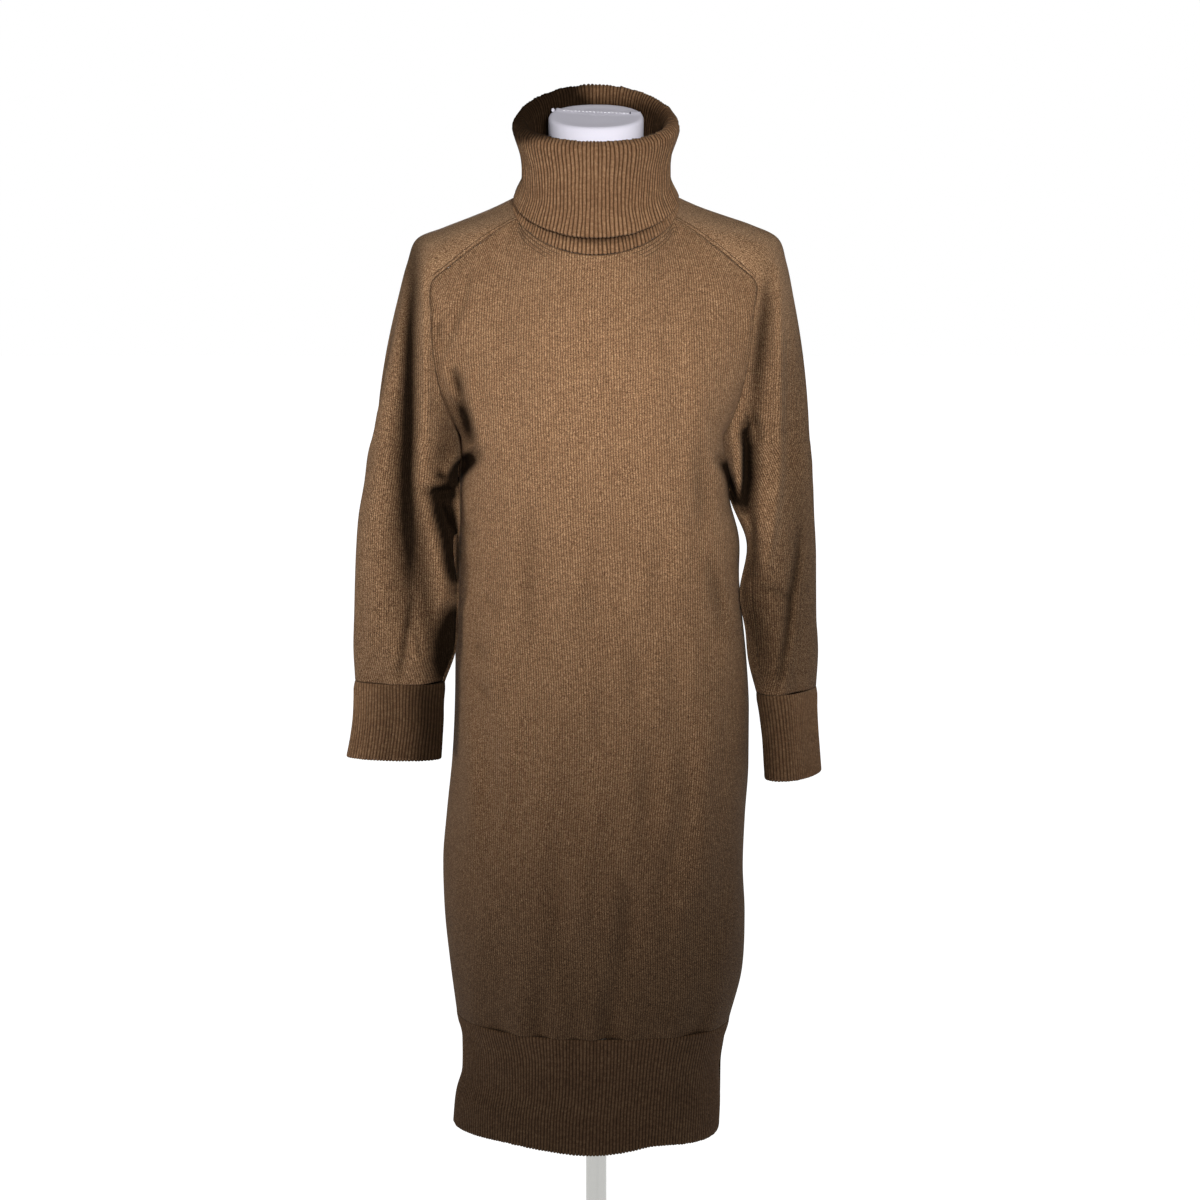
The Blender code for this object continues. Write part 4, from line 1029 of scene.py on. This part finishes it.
hem = {
    "pitch": 0.0039, "rowStep": 0.0050, "ribHeight": 0.0013, "loose": 1.0, "seamAtTop": True,
    "rows": (0.0, 0.035, 0.07, 0.105), "flat": (0.50, 0.15),
}
for face in faceSign:
    grid = []
    for height in (*hem["rows"], body["hemRib"] - cloth["seamGap"]):
        drawnIn = body["slitSpread"] * math.sin(math.pi * (height / body["hemRib"]) ** 2)
        row = skirtRow(face, height, gapY=body["slitHalfGap"], drawnIn=drawnIn if face == "front" else 0)
        if face == "front":
            lift = np.array([tableAt(body["hemEdge"], x)[0] for x in row[:, 0]])
            row[:, 2] += lift * max(1 - height / body["hemEdgeReach"], 0)
        grid.append(row)
    piece = ribbedPiece("hem-rib-" + face, np.array(grid), hem, False, face == "back", softRibKnit)
    finishSheet(piece, "hem_rib_" + face)

cuffs = {
    "pitch": 0.0037, "rowStep": 0.0045, "ribHeight": 0.0013, "loose": 1.0, "seamAtTop": True,
    "rows": 5, "columns": 72, "flat": (0.27, 0.11),
    # side, where its painted shade begins (x inwards), over how many metres it comes in, how dark
    "shades": ((-1, -0.272, 0.030, 0.38), (-1, -0.228, 0.028, 0.50), (1, -0.232, 0.030, 0.55)),
}


# Painted shade, darker towards the body, where little light comes in.
def cuffHollow(grid, up):
    out = [(grid[..., 0] * row[0], row[1:]) for row in cuffs["shades"]]
    return sum(dark * fade(-x, start, over) * (x > 0) for x, (start, over, dark) in out)


for side in sideSign:
    foot, top = (sleeveShape[side][row][0] for row in (0, sleeveShape["cuffSeam"]))
    heights = np.linspace(foot, top - cloth["seamGap"], cuffs["rows"])
    grid = np.array([sleeveRing(side, height, cuffs["columns"]) for height in heights])
    piece = ribbedPiece("cuff-" + side, grid, cuffs, True, side == "left", softRibKnit, hollowAt=cuffHollow)
    finishSheet(piece, "cuff_" + side)

collar = {
    "pitch": 0.00435, "rowStep": 0.0056, "ribHeight": 0.0017, "loose": 1.9, "seamAtTop": False,
    "columns": 96, "flat": (0.52, 0.27),
    # metres up the knit where each painted shade begins and ends, over how many metres, and how dark
    "inFold": {"begin": 0.011, "beginOver": 0.006, "end": 0.105, "endOver": 0.02, "dark": 0.85},
    "innerLeft": {"begin": 0.05, "end": 0.122, "endOver": 0.008, "sideOver": 0.025, "dark": 0.9},
    "darkest": 0.95,
}


# Painted shade inside the fold, and down the inner wall on the left.
def collarHollow(grid, up):
    fold, inner = collar["inFold"], collar["innerLeft"]
    inFold = fade(up, fold["begin"], fold["beginOver"]) * fade(-up, -fold["end"], fold["endOver"])
    onLeft = fade(-up, -inner["end"], inner["endOver"]) * fade(-grid[..., 0], 0, inner["sideOver"])
    shade = inFold * fold["dark"] + onLeft * (up > inner["begin"]) * inner["dark"]
    return np.clip(shade, 0, collar["darkest"])


rimZ, footZ = collarShape["rings"][collarShape["rimTop"]][4], body["neckline"][4]
angles = np.linspace(math.pi, 3 * math.pi, 4 * collar["columns"] + 1)
rings = []
for ring in collarShape["rings"]:
    points = evenly(ovalAt(ring, angles), collar["columns"])
    points[:, 2] += points[:, 0] * collarShape["lean"] * (ring[4] - footZ) / (rimZ - footZ)
    rings.append(points)
rings[0][:, 2] += cloth["seamGap"] + cloth["thickness"] / 2
piece = ribbedPiece("roll-collar", np.array(rings), collar, True, False, ribKnit, hollowAt=collarHollow)
finishSheet(piece, "collar")

# Form and stand: the solids stay, with finished materials

# the slot colour is painted shade
form = {"jersey": "#dedbe6", "shaded": "#bdb8cc", "steel": "#b9b9b6", "paint": "#efede8", "slot": "#4b4c56"}


# Fine stretched polyester jersey over a padded form: smooth, matt, cool white.
def jerseyLook(add):
    place = add("TexCoord")["Object"]
    grain = add("TexNoise", {"Vector": place, "Scale": 900.0, "Detail": 2.0})[0]
    soft = add("TexNoise", {"Vector": place, "Scale": 14.0, "Detail": 2.0})[0]
    mixed = {0: add("Math.MULTIPLY", (soft, 0.12))[0], 6: linear(form["jersey"]), 7: linear(form["shaded"])}
    return {
        "Base Color": add("Mix", mixed, data_type="RGBA")[2],
        "Normal": add("Bump", {"Strength": 0.3, "Distance": 0.0003, "Height": grain})[0],
        "Roughness": 0.8,
    }


# Satin stainless tube: fine turned lines round it and a soft bright streak.
def steelLook(add):
    stretched = add("Mapping", {"Vector": add("TexCoord")["Object"], "Scale": (20.0, 20.0, 2500.0)})[0]
    turned = add("TexNoise", {"Vector": stretched, "Scale": 1.0, "Detail": 2.0})[0]
    roughness = add("Math.MULTIPLY_ADD", (turned, 0.2, 0.22))[0]
    return {"Base Color": linear(form["steel"]), "Metallic": 1.0, "Roughness": roughness}


# Powder-coated steel plate: pale, satin, faintly pebbled.
def paintLook(add):
    pebbles = add("TexNoise", {"Vector": add("TexCoord")["Object"], "Scale": 700.0, "Detail": 2.0})[0]
    relief = add("Bump", {"Strength": 0.25, "Distance": 0.0002, "Height": pebbles})[0]
    return {"Base Color": linear(form["paint"]), "Normal": relief, "Roughness": 0.42}


# Painted shade: a matt dark colour for the beads put where the slots lie in shade.
def slotLook(add):
    return {"Base Color": linear(form["slot"]), "Roughness": 0.9}


jersey = newMaterial("stretched white jersey", jerseyLook)
steel = newMaterial("satin steel tube", steelLook)
paint = newMaterial("pale powder coat", paintLook)
shadedSlot = newMaterial("shaded slot", slotLook)

# The padded end of the neck: a jersey cover sewn across its top, with two small ears where the seam ends
neckTop = {
    "half": 0.0535,
    "front": -0.056,
    "back": 0.046,
    "rise": 0.032,
    "roundness": 2.2,
    "columns": 72,
    # height over the hem in front, how far out, share of the section kept
    "rings": (
        (1.1545, -0.0006, 1.0), (1.154, 0.0006, 1.0), (1.155, 0.0012, 1.0), (1.17, 0.0014, 1.0),
        (1.1815, 0.0014, 1.0), (1.184, 0.0004, 1.0), (1.1853, -0.0016, 1.0), (1.1855, -0.004, 1.0),
        (1.1848, -0.004, 0.86), (1.1842, -0.003, 0.66), (1.184, -0.002, 0.44), (1.184, -0.001, 0.22),
        (1.184, 0.0, 0.02),
    ),
    "seam": ((-0.0505, 0.022), (0.0495, 0.006)),
    "seamHeight": 0.0022,
    "seamWidth": 0.0030,
    # half sizes, places along the seam as shares of it, metres ahead of it and above it
    "top": 1.1848,
    "ears": {"half": (0.00216, 0.00144, 0.0024), "shares": (0.005, 0.995), "ahead": 0.0, "above": 0.0},
    "slots": {"half": (0.00072, 0.00072, 0.00192), "shares": (0.035, 0.90), "ahead": 0.0035, "above": 0.0012},
    "dashes": {"shares": np.linspace(0.05, 0.87, 30), "ahead": 0.0030, "above": 0.0008},
    "dash": {"Spacing": 0.0042, "Length": 0.0030, "Width": 0.0009},
}


def neckLean(y):
    return neckTop["rise"] * (y - neckTop["front"]) / (neckTop["back"] - neckTop["front"]) + hemOverFloor


def neckRing(height, out, kept):
    angle = np.linspace(0, math.tau, neckTop["columns"], endpoint=False)
    middleY = (neckTop["front"] + neckTop["back"]) / 2
    deep = (neckTop["back"] - neckTop["front"]) / 2
    x = (neckTop["half"] * kept + out) * power(np.sin(angle), 2 / neckTop["roundness"])
    y = middleY - (deep * kept + out) * power(np.cos(angle), 2 / neckTop["roundness"])
    (x0, y0), (x1, y1) = neckTop["seam"]
    fromSeam = np.abs(y - (y0 + (x - x0) / (x1 - x0) * (y1 - y0)))
    ridge = neckTop["seamHeight"] * np.exp(-((fromSeam / neckTop["seamWidth"]) ** 2)) * (kept < 1 or out < 0)
    return np.stack([x, y, height + neckLean(y) + ridge], 1)


def neckTopShape():
    rings = np.array([neckRing(*ring) for ring in neckTop["rings"]])
    number = np.arange(rings[..., 0].size).reshape(rings.shape[:2])
    following = np.roll(number, -1, 1)
    sides = np.stack([number[:-1], following[:-1], following[1:], number[1:]], -1).reshape(-1, 4)
    caps = [number[0, ::-1].tolist(), number[-1].tolist()]
    return rings.reshape(-1, 3).tolist(), [], sides.tolist() + caps


# Places along the seam of the neck's top.
def alongSeam(kind):
    (x0, y0), (x1, y1) = neckTop["seam"]
    x, y = (np.array((x0, y0)) + np.outer(kind["shares"], (x1 - x0, y1 - y0))).T
    y = y - kind["ahead"]
    return np.stack([x, y, neckTop["top"] + neckLean(y) + kind["above"]], 1)


def addBeads(piece, kind):
    shape = bmesh.new()
    shape.from_mesh(piece.data)
    for place in alongSeam(kind):
        matrix = Matrix.Translation(place) @ Matrix.Diagonal((*kind["half"], 1))
        bmesh.ops.create_uvsphere(shape, u_segments=12, v_segments=6, radius=1, matrix=matrix)
    shape.to_mesh(piece.data)
    shape.free()
    piece.data.shade_smooth()
    return piece


cover = addBeads(addPiece("neck-top", *neckTopShape()), neckTop["ears"])
keepPiece(cover, jersey)
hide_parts("form_neck_cap")
# two dark beads at the seam's ends, painted shade of the slots
keepPiece(addBeads(addPiece("neck-slots", [], [], []), neckTop["slots"]), shadedSlot)
addStitches("neck-dashes", [alongSeam(neckTop["dashes"])], neckTop["dash"], whiteThread)

finishes = {"form_torso": jersey, "stand_pole": steel, "stand_socket": paint, "stand_base": paint}
for node, material in finishes.items():
    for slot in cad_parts[node].material_slots:
        slot.material = material
print("form and stand finished")

# Studio

studio = {
    "floor": "#f4f4f4",
    "floorGlow": 0.95,
    "sky": "#ffffff",
    "fill": 0.20,
    "floorHalf": 30.0,
    # place, aim, size, power, spread in degrees
    "lights": (
        ((0.22, -1.80, 1.60), (0, 0, 1.23), (0.4, 0.3), 2.62, 41.5),
        ((-1.56, -0.90, 0.80), (0, 0, 1.20), (0.4, 0.3), 1.4, 56),
        ((-0.30, 1.85, 1.60), (0, 0, 1.10), (0.5, 0.5), 3.2, 60),
    ),
}


def addLight(name, place, aim, size, power, spread):
    data = bpy.data.lights.new(name, "AREA")
    data.shape = "RECTANGLE"
    data.size, data.size_y = size
    data.energy = power
    data.spread = math.radians(spread)
    made = bpy.data.objects.new(name, data)
    made.location = place
    made.rotation_euler = (Vector(aim) - Vector(place)).to_track_quat("-Z", "Y").to_euler()
    bpy.context.scene.collection.objects.link(made)


# A plain pale floor that also glows a little, so that it stays pale outside the key light.
def floorLook(add):
    return {
        "Base Color": linear(studio["floor"]), "Roughness": 0.9,
        "Emission Color": (1, 1, 1, 1), "Emission Strength": studio["floorGlow"],
    }


def addFloor():
    half = studio["floorHalf"]
    corners = [(-half, -half, 0), (half, -half, 0), (half, half, 0), (-half, half, 0)]
    floor = addPiece("floor", corners, [], [(0, 1, 2, 3)])
    floor.data.materials.append(newMaterial("pale studio floor", floorLook))
    floor.visible_diffuse = False


# Full white behind the object, and a weaker fill on it.
def addWorld():
    world = bpy.data.worlds.new("studio")
    world.use_nodes = True
    world.node_tree.nodes.clear()
    add = partial(addNode, world.node_tree)
    seen = add("LightPath")["Is Camera Ray"]
    strength = add("Math.MULTIPLY_ADD", (seen, 1.0 - studio["fill"], studio["fill"]))[0]
    add("OutputWorld", add("Background", {"Color": linear(studio["sky"]), "Strength": strength})[:1])
    bpy.context.scene.world = world


addFloor()
addWorld()
for i, light in enumerate(studio["lights"]):
    addLight("light " + str(i), *light)
bpy.context.scene.view_settings.view_transform = "Standard"
print("studio lit")
